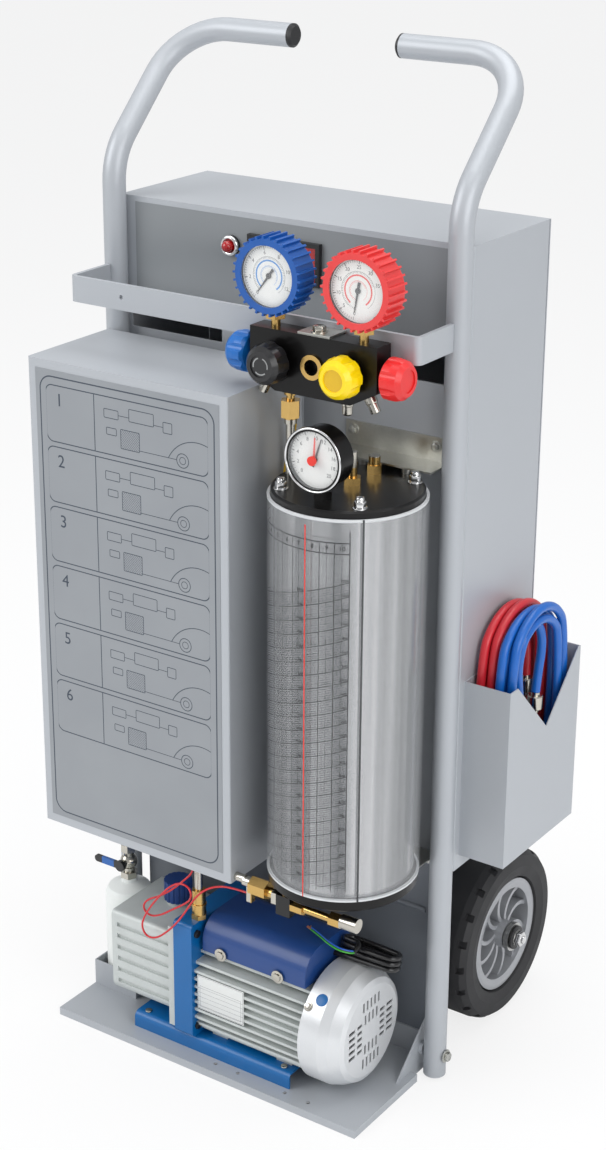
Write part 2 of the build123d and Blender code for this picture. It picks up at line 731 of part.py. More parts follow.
# Knobs: an eight-lobed moulded knob with a sunk disc in its face, on a valve stem
def knob():
    radius = knob_d / 2
    outline = Circle(radius)
    for index in range(knob_flutes):
        angle = 2 * math.pi * (index + 0.5) / knob_flutes
        outline -= Pos((radius + 4) * math.cos(angle), (radius + 4) * math.sin(angle)) * Circle(6.2)
    body = extrude(outline, knob_length)
    crown = turned([(0, 0), (radius - 4, 0), (radius, 3), (radius, 12), (radius - 2, knob_length - 5),
                    (radius - 6.5, knob_length), (0, knob_length)])
    body = body & crown
    body -= Pos(0, 0, knob_length - 0.4) * Cylinder(knob_disc_d / 2, 2)
    stem_length = knob_standoff + knob_stem_depth
    stem = Pos(0, 0, 1 - stem_length / 2) * Cylinder(knob_stem_d / 2, stem_length + 2)
    return body + stem


knob_solid = knob()
front_turn = Rot(90, 0, 0)
save("knob_black", Pos(block_x - knob_offset, block_front - knob_standoff, knob_z) * front_turn * knob_solid)
save("knob_yellow", Pos(block_x + knob_offset, block_front - knob_standoff, knob_z) * front_turn * knob_solid)
save("knob_blue", Pos(bx0 - knob_standoff, block_y, knob_z) * Rot(0, -90, 0) * knob_solid)
save("knob_red", Pos(bx1 + knob_standoff, block_y, knob_z) * Rot(0, 90, 0) * knob_solid)

# Galvanised brackets: the manifold's tab, the cylinder's top angle and its foot angle
tab_x0 = block_x - tab_width / 2
manifold_bracket = slab(tab_x0, tab_x0 + tab_width, block_front + 2, -rail_front,
                        block_high, block_high + bracket_sheet)
manifold_bracket += slab(tab_x0, tab_x0 + tab_width, -rail_front - bracket_sheet, -rail_front,
                         rail_low, block_high + bracket_sheet)
manifold_bracket -= rod_z(3.3, block_high - 1, block_high + 4, block_x, block_y)
angle_x0 = cyl_x - cylinder_bracket_reach
angle_x1 = tube_x - tube_r - bracket_gap
top_angle = slab(angle_x0, angle_x1, cylinder_ledge_front, cabinet_front,
                 cylinder_bracket_z, cylinder_bracket_z + bracket_sheet)
top_angle += slab(angle_x0, angle_x1, cabinet_front - bracket_sheet, cabinet_front,
                  cylinder_bracket_z, cylinder_bracket_z + cylinder_bracket_rise)
for side in (-1, 1):
    top_angle += rod_z(5, flange_top, cylinder_bracket_z + 1, cyl_x + side * 28, cylinder_ledge_front + 6)
foot_angle = slab(angle_x0, angle_x1, foot_ledge_front, cabinet_front,
                  foot_flange_low - bracket_sheet, foot_flange_low)
foot_angle += slab(angle_x0, angle_x1, cabinet_front - bracket_sheet, cabinet_front,
                   cabinet_bottom + 2, foot_flange_low)
save("mounting_brackets", manifold_bracket, top_angle, foot_angle)


# Manifold gauges: a metal case on a brass stem, inside a ribbed rubber boot, behind a clear lens
def gauge_case(x):
    radius = gauge_case_d / 2
    rear = gauge_front_y + gauge_case_depth
    case = rod_y(radius, gauge_front_y, rear, x, gauge_z)
    case -= rod_y(gauge_window_d / 2, gauge_front_y - 1, gauge_floor_y, x, gauge_z)
    case -= rod_y(pointer_shaft_d / 2 + turn_gap, gauge_floor_y - 1, gauge_floor_y + 5, x, gauge_z)
    case += rod_z(5.0, block_high, gauge_z - radius + 3, x, block_y)
    case += hex_z(stem_hex, block_high + 9, block_high + 17, x, block_y)
    case += rod_z(stem_thread_d / 2, block_high - stem_thread_depth, block_high + 1, x, block_y)
    return case


def gauge_boot(x):
    inner = gauge_case_d / 2 + fit_gap
    outer = inner + boot_wall
    front = gauge_front_y - boot_lip
    rear = gauge_front_y + gauge_case_depth + boot_lip
    outline = Circle(outer)
    for index in range(boot_ribs):
        rib = Pos(outer + boot_rib / 2 - 0.5, 0) * Rectangle(boot_rib + 1, 2.2)
        outline += Rot(0, 0, index * 360 / boot_ribs) * rib
    boot = Pos(x, rear, gauge_z) * Rot(90, 0, 0) * extrude(outline, rear - front)
    boot -= rod_y(inner, gauge_front_y, rear - boot_lip + fit_gap, x, gauge_z)
    boot -= rod_y(gauge_window_d / 2 - 0.8, front - 1, gauge_front_y + 1, x, gauge_z)
    boot -= rod_y(inner - 8, rear - boot_lip - 1, rear + 1, x, gauge_z)
    boot -= rod_z(stem_hex * 0.6, block_high, gauge_z - inner + 3, x, block_y)
    return boot


def gauge_lens(x, front, diameter):
    return rod_y(diameter / 2, front, front + lens_thickness, x, gauge_z)


def hand(length, tail, width, hub):
    """A tapered hand along +x in the xz plane, with a hub and a shaft behind it towards +y."""
    blade = make_face(Polyline((-tail, 0, -width), (length, 0, -width / 4), (length, 0, width / 4),
                               (-tail, 0, width), close=True))
    plate = extrude(blade, amount=pointer_thickness, dir=(0, 1, 0))
    disc = rod_y(hub, -0.5, pointer_thickness + 0.2, 0, 0)
    return plate + disc


def gauge_pointer(x, angle):
    plate_y = gauge_floor_y - 1.5
    shaft = rod_y(pointer_shaft_d / 2, 0, 4.5, 0, 0)
    return Pos(x, plate_y, gauge_z) * Rot(0, -angle, 0) * (hand(23, 9, 1.6, 3.0) + shaft)


low_x = block_x - gauge_offset
high_x = block_x + gauge_offset
save("gauge_cases", gauge_case(low_x), gauge_case(high_x))
save("low_boot", gauge_boot(low_x))
save("high_boot", gauge_boot(high_x))
save("low_pointer", gauge_pointer(low_x, -127))
save("high_pointer", gauge_pointer(high_x, -100))

# Charging cylinder: a steel vessel between two black flanges, inside a clear sleeve that turns by hand
vessel = rod_z(vessel_d / 2, vessel_low, vessel_high, cyl_x, cyl_y)
save("vessel", vessel)
shroud = rod_z(shroud_d / 2, vessel_low + turn_gap, shroud_top, cyl_x, cyl_y)
shroud -= rod_z(shroud_d / 2 - shroud_wall, vessel_low, shroud_top + 1, cyl_x, cyl_y)
save("scale_shroud", shroud)
top_flange = turned([(0, 0), (flange_d / 2, 0), (flange_d / 2, flange_thickness - 2),
                     (flange_d / 2 - 2, flange_thickness), (0, flange_thickness)])
foot_flange = turned([(0, 0), (foot_flange_d / 2 - 2, 0), (foot_flange_d / 2, 2),
                      (foot_flange_d / 2, flange_thickness + 1), (0, flange_thickness + 1)])
save("cylinder_flanges", Pos(cyl_x, cyl_y, vessel_high) * top_flange,
     Pos(cyl_x, cyl_y, foot_flange_low) * foot_flange)

# Gauge on the cylinder: a steel case with a polished bezel, a black hand and a red marker set by hand
cyl_gauge_rear = cyl_gauge_y + cyl_gauge_depth
cyl_floor = cyl_gauge_y + 6.0
cyl_window_d = cyl_gauge_d - 4
cyl_gauge = rod_y(cyl_gauge_d / 2, cyl_gauge_y + 2, cyl_gauge_rear, cyl_x, cyl_gauge_z)
cyl_gauge += rod_y(cyl_gauge_bezel_d / 2, cyl_gauge_y, cyl_gauge_y + 5, cyl_x, cyl_gauge_z)
cyl_gauge -= rod_y(cyl_window_d / 2, cyl_gauge_y - 1, cyl_floor, cyl_x, cyl_gauge_z)
cyl_gauge -= rod_y(pointer_shaft_d / 2 + turn_gap, cyl_floor - 1, cyl_floor + 5, cyl_x, cyl_gauge_z)
cyl_gauge += rod_z(6, flange_top + 8, cyl_gauge_z - cyl_gauge_d / 2 + 3, cyl_x, cyl_gauge_stem_y)
cyl_gauge += hex_z(18, flange_top, flange_top + 9, cyl_x, cyl_gauge_stem_y)
save("cylinder_gauge", cyl_gauge)
hand_y = cyl_floor - 1.5
cylinder_pointer = hand(24, 9, 1.6, 3.0) + rod_y(pointer_shaft_d / 2, 0, 4.5, 0, 0)
save("cylinder_pointer", Pos(cyl_x, hand_y, cyl_gauge_z) * Rot(0, -72, 0) * cylinder_pointer)
marker_bore = 2.2
lens_y = cyl_gauge_y + 0.4
marker = rod_y(marker_bore, lens_y - 1.6, lens_y + lens_thickness + 1.0, 0, 0)
marker += rod_y(5.0, lens_y - 3.2, lens_y - turn_gap, 0, 0)
marker_plate = make_face(Polyline((-6, 0, -1.6), (24, 0, -0.7), (24, 0, 0.7), (-6, 0, 1.6), close=True))
marker += Pos(0, lens_y + lens_thickness + turn_gap, 0) * extrude(marker_plate, amount=0.7, dir=(0, 1, 0))
save("marker_hand", Pos(cyl_x, 0, cyl_gauge_z) * Rot(0, -88, 0) * marker)
cyl_lens = Pos(0, 0, cyl_gauge_z - gauge_z) * gauge_lens(cyl_x, lens_y, cyl_window_d - fit_gap)
cyl_lens -= rod_y(marker_bore + turn_gap, lens_y - 1, lens_y + 3, cyl_x, cyl_gauge_z)
boot_lens_y = gauge_front_y + 0.1
save("gauge_lenses", gauge_lens(low_x, boot_lens_y, gauge_window_d - fit_gap),
     gauge_lens(high_x, boot_lens_y, gauge_window_d - fit_gap), cyl_lens)

# Brass fittings: a shut-off stem and a capped valve on the top flange, and the feed train under the foot
top_stem = hex_z(17, flange_top, flange_top + 8, cyl_x, cyl_y + 8)
top_stem += rod_z(5, flange_top + 7, flange_top + 36, cyl_x, cyl_y + 8)
cap_y = cylinder_ledge_front - 14
top_valve = hex_z(15, flange_top, flange_top + 10, cyl_x, cap_y)
top_valve += rod_z(6.5, flange_top + 9, flange_top + 20, cyl_x, cap_y)
train_z = foot_flange_low - train_drop
train = rod_x(pipe_d / 2, box_right, box_right + 14, train_y, train_z)
train += rod_x(6.0, box_right + 12, box_right + 25, train_y, train_z - 2)
train += hex_x(20, box_right + 23, box_right + 46, train_y, train_z - 4)
train += rod_x(6.0, box_right + 45, box_right + 54, train_y, train_z - 6)
train += slab(box_right + 53, box_right + 61, train_y - 6, train_y + 6, train_z - 15, train_z - 1)
train += slab(box_right + 60, train_valve_end - 1, train_y - 6.5, train_y + 6.5, train_z - 26, train_z - 1)
train += rod_z(pipe_d / 2, train_z - 2, foot_flange_low, train_valve_end - 10, train_y)
train += hex_x(13, train_valve_end - 2, train_valve_end + 15, train_y, train_z - 12)
train += rod_x(4.5, train_valve_end + 14, train_valve_end + 52, train_y, train_z - 11.5)
train += hex_x(15, train_valve_end + 51, train_valve_end + 67, train_y, train_z - 10.5)
train += rod_x(8.5, train_valve_end + 66, train_valve_end + 87, train_y, train_z - 9)
wire_end_x = box_right + 17.0
train += slab(wire_end_x, wire_end_x + 7, train_y - 3.5, train_y + 3.5, train_z - 26, train_z - 5)
save("cylinder_fittings", top_stem, top_valve, train)

# Pump base: a folded steel channel screwed to the tray
channel_y0 = pump_y - pump_base_width / 2
channel_y1 = pump_y + pump_base_width / 2
channel = slab(pump_base_left, pump_base_right, channel_y0, channel_y1, tray_height, base_top)
channel = fillet(channel.edges().filter_by(Axis.X).sort_by(Axis.Z)[-2:], 8)
channel -= slab(pump_base_left - 1, pump_base_right + 1, channel_y0 + pump_base_sheet,
                channel_y1 - pump_base_sheet, tray_height - 1, base_top - pump_base_sheet)
save("pump_base", channel)

# Pump body: a cast flange, a ribbed oil case bolted to its left and the motor to its right
flange_y0 = pump_y - pump_flange_width / 2
flange_y1 = pump_y + pump_flange_width / 2
pump_flange = slab(pump_flange_x, motor_x0, flange_y0, flange_y1, base_top, pump_flange_top)
pump_flange = fillet(pump_flange.edges().filter_by(Axis.X), 5)
save("pump_flange", pump_flange)

case_x0 = case_x1 - case_length
case_y0 = pump_y - case_width / 2
case_y1 = pump_y + case_width / 2
oil_case = slab(case_x0, case_x1 + 1, case_y0, case_y1, case_low, case_high)
oil_case = fillet(oil_case.edges().filter_by(Axis.X).sort_by(Axis.Z)[:2], 14)
oil_case = fillet(oil_case.edges().filter_by(Axis.X).sort_by(Axis.Z)[-2:], 6)
groove_pitch = (case_high - case_low - 34) / (case_grooves - 1)
for index in range(case_grooves):
    groove_z = case_low + 17 + index * groove_pitch
    for y in (case_y0, case_y1):
        oil_case -= slab(case_x0 + 8, case_x1 - 1, y - case_groove_depth, y + case_groove_depth,
                         groove_z - 3, groove_z + 3)
oil_case += slab(case_x1, pump_flange_x, pump_y - gasket_width / 2, pump_y + gasket_width / 2,
                 base_top + 3, pump_flange_top - 14)
neck_top = case_high + oil_neck_height
oil_case += rod_z(oil_cap_d / 2 - 3, case_high - 1, neck_top, oil_cap_x, oil_cap_y)
oil_case += rod_x(13, case_x0 - 4, case_x0 + 1, pump_y - 26, pump_z - 12)
oil_case -= rod_z(8 + turn_gap, case_high - 8, neck_top + 1, oil_cap_x, oil_cap_y)
oil_case -= rod_x(10, case_x0 - 5, case_x0 - 2, pump_y - 26, pump_z - 12)
save("oil_case", oil_case)

cap_outline = Circle(oil_cap_d / 2)
for index in range(oil_cap_grips):
    cap_outline -= Rot(0, 0, index * 360 / oil_cap_grips) * Pos(oil_cap_d / 2 + 0.6, 0) * Circle(1.8)
oil_cap = Pos(oil_cap_x, oil_cap_y, neck_top + turn_gap) * extrude(cap_outline, oil_cap_height)
oil_cap += rod_z(8, case_high - 5, neck_top + 1, oil_cap_x, oil_cap_y)
save("oil_cap", oil_cap)

# Motor: a finned extrusion on two feet, with a saddle for the top cover
motor_section = Circle(motor_core_d / 2)
for index in range(motor_fin_count):
    fin_z = (index - (motor_fin_count - 1) / 2) * motor_fin_pitch
    reach = min(motor_fin_reach, math.sqrt((motor_fin_circle_d / 2) ** 2 - fin_z ** 2))
    motor_section += Pos(0, fin_z) * Rectangle(2 * reach, motor_fin_thickness)
motor = Plane(origin=(motor_x0, pump_y, pump_z), x_dir=(0, 1, 0), z_dir=(1, 0, 0)) * motor_section
motor = extrude(motor, amount=motor_length, dir=(1, 0, 0))
motor += slab(motor_x0 + 20, fan_x0 - 30, pump_y - 22, pump_y + 22, pump_z, cover_low)
for foot_x in (motor_x0 + 14, pump_base_right - 30):
    motor += slab(foot_x, foot_x + 22, pump_y - 40, pump_y + 40, base_top, pump_z - motor_core_d / 3)
motor -= rod_x(fan_shaft_d / 2 + turn_gap, fan_x0 - 14, fan_x0 + 1, pump_y, pump_z)
save("motor_housing", motor)

motor_cover = slab(motor_x0 + cover_gap, fan_x0 - cover_gap, pump_y - cover_half, pump_y + cover_half,
                   cover_low, cover_high)
motor_cover = fillet(motor_cover.edges().filter_by(Axis.X).sort_by(Axis.Z)[-2:], cover_round)
save("motor_cover", motor_cover)


# Fan cover: a spun cowl whose flat face is pierced with groups of slots, over the motor's fan
def fan_grille():
    """Slots in the cowl's face, in the plane of the face with y across and z up."""
    cuts = []
    for side in (-1, 1):
        for row, count in ((20, 4), (38, 5)):
            for index in range(count):
                offset = (index - (count - 1) / 2) * 8
                cuts.append((offset, side * row, 3.4, 13))
        for row in range(5):
            z = (row - 2) * 8.5
            cuts.append((side * 40, z, 13, 4.2))
            cuts.append((side * 24, z, 10, 4.2))
    return cuts


cowl_outer = [(fan_cover_d / 2, 0), (fan_cover_d / 2, fan_barrel), (fan_shoulder_d / 2 + 4, 38),
              (fan_shoulder_d / 2 - 3, fan_cover_length - 3), (fan_face_d / 2, fan_cover_length)]
wall = fan_cover_wall
cowl_inner = [(fan_face_d / 2 - 1, fan_cover_length - wall),
              (fan_shoulder_d / 2 - 3 - wall, fan_cover_length - 3 - wall),
              (fan_shoulder_d / 2 + 4 - wall, 38 - wall), (fan_cover_d / 2 - wall, fan_barrel), (fan_cover_d / 2 - wall, 0)]
cowl = turned(cowl_outer + [(0, fan_cover_length), (0, fan_cover_length - wall)] + cowl_inner)
for y, z, w, h in fan_grille():
    cowl -= Pos(-z, y, fan_cover_length - 1) * Box(h, w, 6)
cowl += Pos(0, 0, 1.5) * (Cylinder(fan_cover_d / 2 - 1, 3) - Cylinder(motor_fin_reach + 3, 3))
fan_cover = Pos(fan_x0, pump_y, pump_z) * Rot(0, 90, 0) * cowl
save("fan_cover", fan_cover)

blade = Pos((fan_hub_d + fan_d) / 4 - 2, 0, 0) * Rot(24, 0, 0) * Box((fan_d - fan_hub_d) / 2 + 4, 1.6, 14)
fan = Cylinder(fan_hub_d / 2, fan_hub_length)
for index in range(fan_blades):
    fan += Rot(0, 0, index * 360 / fan_blades) * blade
fan += Pos(0, 0, -(fan_hub_length + fan_shaft_length) / 2 + 4) * Cylinder(fan_shaft_d / 2, fan_shaft_length)
save("fan_impeller", Pos(fan_x0 + 22, pump_y, pump_z) * Rot(0, 90, 0) * fan)

# Intake line: a knurled brass coupling on the pump flange and the pipe up into the service box
intake = hex_z(17, pump_flange_top, pump_flange_top + 6, intake_x, intake_y)
intake += rod_z(8.5, pump_flange_top + 5, pump_flange_top + 17, intake_x, intake_y)
intake += rod_z(9.2, pump_flange_top + 17, pump_flange_top + 20, intake_x, intake_y)
intake += rod_z(8.2, pump_flange_top + 20, pump_flange_top + 38, intake_x, intake_y)
intake += rod_z(pipe_d / 2, pump_flange_top + 38, box_low + 8, intake_x, intake_y)
save("intake_line", intake)

# Oil bottle in its stand, with a ball valve that drains the separator into it
bottle_r = bottle_d / 2
bottle = turned([(0, tray_height), (bottle_r - 3, tray_height), (bottle_r, tray_height + 3),
                 (bottle_r, bottle_shoulder_z), (bottle_r - 4, bottle_shoulder_z + 7),
                 (bottle_neck_d / 2 + 6, bottle_neck_z - 7), (bottle_neck_d / 2, bottle_neck_z - 5),
                 (bottle_neck_d / 2, bottle_neck_z), (0, bottle_neck_z)])
save("oil_bottle", Pos(bottle_x, bottle_y, 0) * bottle)
valve_stem_y = bottle_y - 10
valve = hex_z(19, bottle_neck_z, bottle_neck_z + 8, bottle_x, bottle_y)
valve += rod_z(7, bottle_neck_z + 7, lever_z + 20, bottle_x, bottle_y)
valve += Pos(bottle_x, bottle_y, lever_z) * Sphere(11)
valve += hex_z(17, lever_z + valve_rise - 10, lever_z + valve_rise, bottle_x, bottle_y)
valve += rod_z(pipe_d / 2, lever_z + valve_rise - 1, unit_floor + skirt, bottle_x, bottle_y)
valve += rod_y(5, valve_stem_y - 4, bottle_y, bottle_x, lever_z)
valve -= rod_y(2.5 + turn_gap, valve_stem_y - 5, valve_stem_y + 5, bottle_x, lever_z)
save("bottle_valve", valve)
lever_y1 = valve_stem_y - 4 - turn_gap
lever_y0 = lever_y1 - lever_thickness
lever = slab(bottle_x - lever_length, bottle_x, lever_y0, lever_y1, lever_z - lever_width / 2,
             lever_z + lever_width / 2)
lever = fillet(lever.edges().filter_by(Axis.Y).sort_by(Axis.X)[:2], 4)
lever += rod_y(7, lever_y0 - 1, lever_y1, bottle_x, lever_z)
lever += rod_y(2.5, lever_y1 - 1, valve_stem_y + 4, bottle_x, lever_z)
save("valve_lever", lever)


# Service hoses: each lies in the pocket as an upright oval coil, with its two ends hanging inside the coil
def hose_coil(x0, ends):
    inner_y = hose_loop_half_y - hose_bundle
    inner_z = hose_loop_half_z - hose_bundle
    frame_plane = Plane(origin=(x0, hose_loop_y, hose_loop_z), x_dir=(0, 1, 0), z_dir=(1, 0, 0))
    ring = frame_plane * (Ellipse(hose_loop_half_y, hose_loop_half_z) - Ellipse(inner_y, inner_z))
    coil = extrude(ring, amount=hose_bundle, dir=(1, 0, 0))
    for y, z in ends:
        reach = inner_z * math.sqrt(1 - ((y - hose_loop_y) / inner_y) ** 2)
        coil += rod_z(hose_d / 2, z, hose_loop_z + reach + 14, x0 + hose_bundle / 2, y)
    return coil


def coupling(x, y, z):
    """A knurled coupling below a hose end whose face is at height z."""
    body = turned([(0, 0), (hose_d / 2, 0), (hose_d / 2, -4), (coupling_d / 2 - 1, -4), (coupling_d / 2, -5),
                   (coupling_d / 2, -3 - coupling_length), (coupling_d / 2 - 1, -4 - coupling_length),
                   (5, -4 - coupling_length), (5, -8 - coupling_length), (0, -8 - coupling_length)])
    return Pos(x, y, z) * body


red_x0 = px0 + pocket_sheet + 3
blue_x0 = red_x0 + hose_bundle + 3
red_ends = ((140, 480), (88, 400))
blue_ends = ((119, 472), (84, 430))
save("red_hose", hose_coil(red_x0, red_ends))
save("blue_hose", hose_coil(blue_x0, blue_ends))
couplings = [coupling(red_x0 + hose_bundle / 2, y, z) for y, z in red_ends]
couplings += [coupling(blue_x0 + hose_bundle / 2, y, z) for y, z in blue_ends]
save("hose_couplings", *couplings)


def cord_tube(points, diameter):
    """Straight runs joined by arcs as large as the two runs at each corner allow."""
    radii = []
    for a, b, c in zip(points, points[1:], points[2:]):
        first = Vector(*b) - Vector(*a)
        second = Vector(*c) - Vector(*b)
        turn = math.radians(first.get_angle(second))
        radii.append(0.45 * min(first.length, second.length) / math.tan(turn / 2))
    print("cord radii", [round(radius, 1) for radius in radii])
    path = FilletPolyline(*points, radius=radii)
    start = path.edges()[0]
    section = Plane(origin=start @ 0, z_dir=start % 0) * Circle(diameter / 2)
    tube = sweep(section, path)
    print("cord length", round(path.length, 1), "volume ratio",
          round(tube.volume / (math.pi * diameter ** 2 / 4 * path.length), 4))
    return tube


# Mains lead: its hank lies on the fan cover just behind the crown, and its stripped tail leaves the hank
# towards the front and reaches over the motor cover
lead_coil = slab(lead_coil_x0, lead_coil_x0 + lead_coil_length, -lead_coil_width / 2, lead_coil_width / 2,
                 fan_cover_d / 2, fan_cover_d / 2 + lead_coil_height)
lead_coil = fillet(lead_coil.edges().filter_by(Axis.Z), 12)
save("mains_coil", Pos(0, pump_y, pump_z) * Rot(-lead_coil_roll, 0, 0) * lead_coil)
roll = math.radians(lead_coil_roll)
tail_rise = fan_cover_d / 2 + lead_coil_height * 0.66
tail_y = pump_y + tail_rise * math.sin(roll) - lead_coil_width / 2 * math.cos(roll)
tail_z = pump_z + tail_rise * math.cos(roll) + lead_coil_width / 2 * math.sin(roll)
tail_points = [(163, tail_y, tail_z), (163, tail_y - 13 * math.cos(roll), tail_z + 13 * math.sin(roll)),
               (153, -90, 189.5), (137, -91, 193.5), (120, -85, 196), (101, -78.5, 196)]
save("mains_tail", cord_tube(tail_points, lead_tail_d))


# Sensor wire: out of the box's floor, a loose hank of three bights in front of the oil case, then to the
# clip on the feed train
wire_points = [(-22, -139, 271), (-22, -139, 258), (-38, -139.5, 240), (-56, -140, 222), (-74, -140, 208),
               (-92, -140.3, 198), (-99, -140.8, 186), (-89, -141.4, 177), (-71, -142, 184), (-52, -142.6, 199),
               (-34, -143.2, 212), (-22, -143.8, 224), (-24, -144.4, 238), (-38, -145, 241), (-53, -145.5, 231),
               (-67, -145.8, 215), (-80, -146, 198), (-91, -146.2, 180), (-97, -146.4, 163), (-89, -146.6, 151),
               (-74, -146.8, 154), (-58, -147.2, 168), (-43, -147.6, 185), (-30, -148, 204), (-18, -148, 224),
               (-4, -147.6, 242), (14, -146.8, 254), (36, -145.6, 260), (wire_end_x, -145, 260)]
save("sensor_wire", cord_tube(wire_points, wire_d))
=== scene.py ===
import math

import bpy
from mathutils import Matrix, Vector


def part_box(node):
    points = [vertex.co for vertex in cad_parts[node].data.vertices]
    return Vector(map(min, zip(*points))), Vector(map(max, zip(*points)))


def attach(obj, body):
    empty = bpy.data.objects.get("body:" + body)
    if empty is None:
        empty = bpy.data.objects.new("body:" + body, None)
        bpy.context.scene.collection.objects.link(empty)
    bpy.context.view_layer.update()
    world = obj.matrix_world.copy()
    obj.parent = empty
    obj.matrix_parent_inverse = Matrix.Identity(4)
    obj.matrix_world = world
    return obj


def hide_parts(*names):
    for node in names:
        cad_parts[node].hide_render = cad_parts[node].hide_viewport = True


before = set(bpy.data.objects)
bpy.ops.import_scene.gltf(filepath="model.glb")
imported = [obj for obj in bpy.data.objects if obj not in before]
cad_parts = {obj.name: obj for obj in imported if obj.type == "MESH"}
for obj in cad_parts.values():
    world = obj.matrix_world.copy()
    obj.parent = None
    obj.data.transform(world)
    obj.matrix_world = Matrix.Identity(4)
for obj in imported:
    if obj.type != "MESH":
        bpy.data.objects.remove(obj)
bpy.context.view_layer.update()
bpy.ops.object.select_all(action="DESELECT")


# Studio: the camera stands where the photographer's stood, to the right of the machine and above it.
# A pale floor and an even white room carry one large soft lamp on the left, a weaker one on the right
# and one overhead.
class Strand:
    """One output of a node, used in sums like a number."""

    def __init__(self, tree, socket):
        self.tree = tree
        self.socket = socket

    def sum(self, operation, *values):
        """The result of one named operation on values that are numbers or strands."""
        made = self.tree.nodes.new("ShaderNodeMath")
        made.operation = operation
        for slot, value in zip(made.inputs, values):
            if isinstance(value, Strand):
                self.tree.links.new(value.socket, slot)
            else:
                slot.default_value = value
        return Strand(self.tree, made.outputs[0])

    def __add__(self, other):
        return self.sum("ADD", self, other)

    def __sub__(self, other):
        return self.sum("SUBTRACT", self, other)

    def __rsub__(self, other):
        return self.sum("SUBTRACT", other, self)

    def __mul__(self, other):
        return self.sum("MULTIPLY", self, other)

    def __pow__(self, other):
        return self.sum("POWER", self, other)

    def __lt__(self, other):
        return self.sum("LESS_THAN", self, other)

    def __gt__(self, other):
        return self.sum("GREATER_THAN", self, other)

    __radd__ = __add__
    __rmul__ = __mul__


class Finish:
    """A material whose nodes are added one at a time."""

    def __init__(self, name, metallic=0.0, coat=0.0):
        self.material = bpy.data.materials.new(name)
        self.material.use_nodes = True
        self.tree = self.material.node_tree
        self.shader = self.tree.nodes["Principled BSDF"]
        self.shader.inputs["Metallic"].default_value = metallic
        self.shader.inputs["Coat Weight"].default_value = coat
        self.shader.inputs["Coat Roughness"].default_value = 0.12
        self.shader.inputs["Normal"].default_value = (0, 0, 0)

    def node(self, kind, settings, values, out=0):
        made = self.tree.nodes.new("ShaderNode" + kind)
        for key, value in settings.items():
            setattr(made, key, value)
        for key, value in values.items():
            if isinstance(value, Strand):
                self.tree.links.new(value.socket, made.inputs[key])
            else:
                made.inputs[key].default_value = value
        return Strand(self.tree, made.outputs[out])

    def place(self):
        return self.node("TexCoord", {}, {}, "Object")

    def axes(self, centre=(0, 0, 0)):
        """The three coordinates measured from a point."""
        moved = self.node("VectorMath", {"operation": "SUBTRACT"}, {0: self.place(), 1: centre})
        return [self.node("SeparateXYZ", {}, {0: moved}, index) for index in range(3)]

    def noise(self, scale, detail=3.0, stretch=(1, 1, 1)):
        """A cloud from 0 to 1 whose lumps measure about 1 / scale metres."""
        place = self.node("VectorMath", {"operation": "MULTIPLY"}, {0: self.place(), 1: stretch})
        return self.node("TexNoise", {}, {"Vector": place, "Scale": scale, "Detail": detail}, 0)

    def blend(self, low, high, share):
        """One colour where share is 0, the other where it is 1."""
        return self.node("Mix", {"data_type": "RGBA"}, {0: share, 6: low, 7: high}, 2)

    def set(self, socket, value):
        if isinstance(value, Strand):
            self.tree.links.new(value.socket, self.shader.inputs[socket])
        else:
            self.shader.inputs[socket].default_value = value

    def bump(self, height, distance):
        """Raises the skin by up to distance, in metres, where height is 1."""
        self.set("Normal", self.node("Bump", {}, {"Height": height, "Distance": distance, "Strength": 1.0}))


camera_place = (1.29285, -1.93400, 1.50621)
camera_tilt, camera_turn = 69.046, 35.28
camera = bpy.data.objects.new("camera", bpy.data.cameras.new("camera"))
bpy.context.scene.collection.objects.link(camera)
camera.location = camera_place
camera.rotation_euler = (math.radians(camera_tilt), 0, math.radians(camera_turn))
camera.data.lens = 67.02
camera.data.sensor_width = 36
camera.data.shift_x = 0.0296
camera.data.shift_y = -0.0246
bpy.context.scene.camera = camera
bpy.context.scene.view_settings.view_transform = "Standard"

white = (1, 1, 1, 1)
cool_white = (0.96, 0.975, 1.0, 1)
world = bpy.data.worlds.new("room")
bpy.context.scene.world = world
world.use_nodes = True
room = world.node_tree
rays = room.nodes.new("ShaderNodeLightPath")
lit_room = room.nodes["Background"]
lit_room.inputs["Color"].default_value = cool_white
lit_room.inputs["Strength"].default_value = 0.55
seen_room = room.nodes.new("ShaderNodeBackground")
seen_room.inputs["Color"].default_value = white
seen_room.inputs["Strength"].default_value = 1.0
choice = room.nodes.new("ShaderNodeMixShader")
room.links.new(rays.outputs["Is Camera Ray"], choice.inputs[0])
room.links.new(lit_room.outputs[0], choice.inputs[1])
room.links.new(seen_room.outputs[0], choice.inputs[2])
room.links.new(choice.outputs[0], room.nodes["World Output"].inputs["Surface"])

floor_width = 60
floor_shades = (0.86, 0.86, 0.86, 1), (0.9, 0.9, 0.9, 1)
seen_glow = 0.8
bpy.ops.mesh.primitive_plane_add(size=floor_width)
floor = bpy.context.object
floor.name = "floor"
floor_finish = Finish("floor")
floor_finish.set("Base Color", floor_finish.blend(*floor_shades, floor_finish.noise(2.0)))
floor_finish.set("Roughness", 0.9)
glow = floor_finish.node("Emission", {}, {"Color": white, "Strength": 1.0})
seen = floor_finish.node("LightPath", {}, {}, "Is Camera Ray")
lit_floor = Strand(floor_finish.tree, floor_finish.shader.outputs[0])
mixed = floor_finish.node("MixShader", {}, {0: seen * seen_glow, 1: lit_floor, 2: glow})
floor_end = floor_finish.tree.nodes["Material Output"].inputs["Surface"]
floor_finish.tree.links.new(mixed.socket, floor_end)
floor.data.materials.append(floor_finish.material)

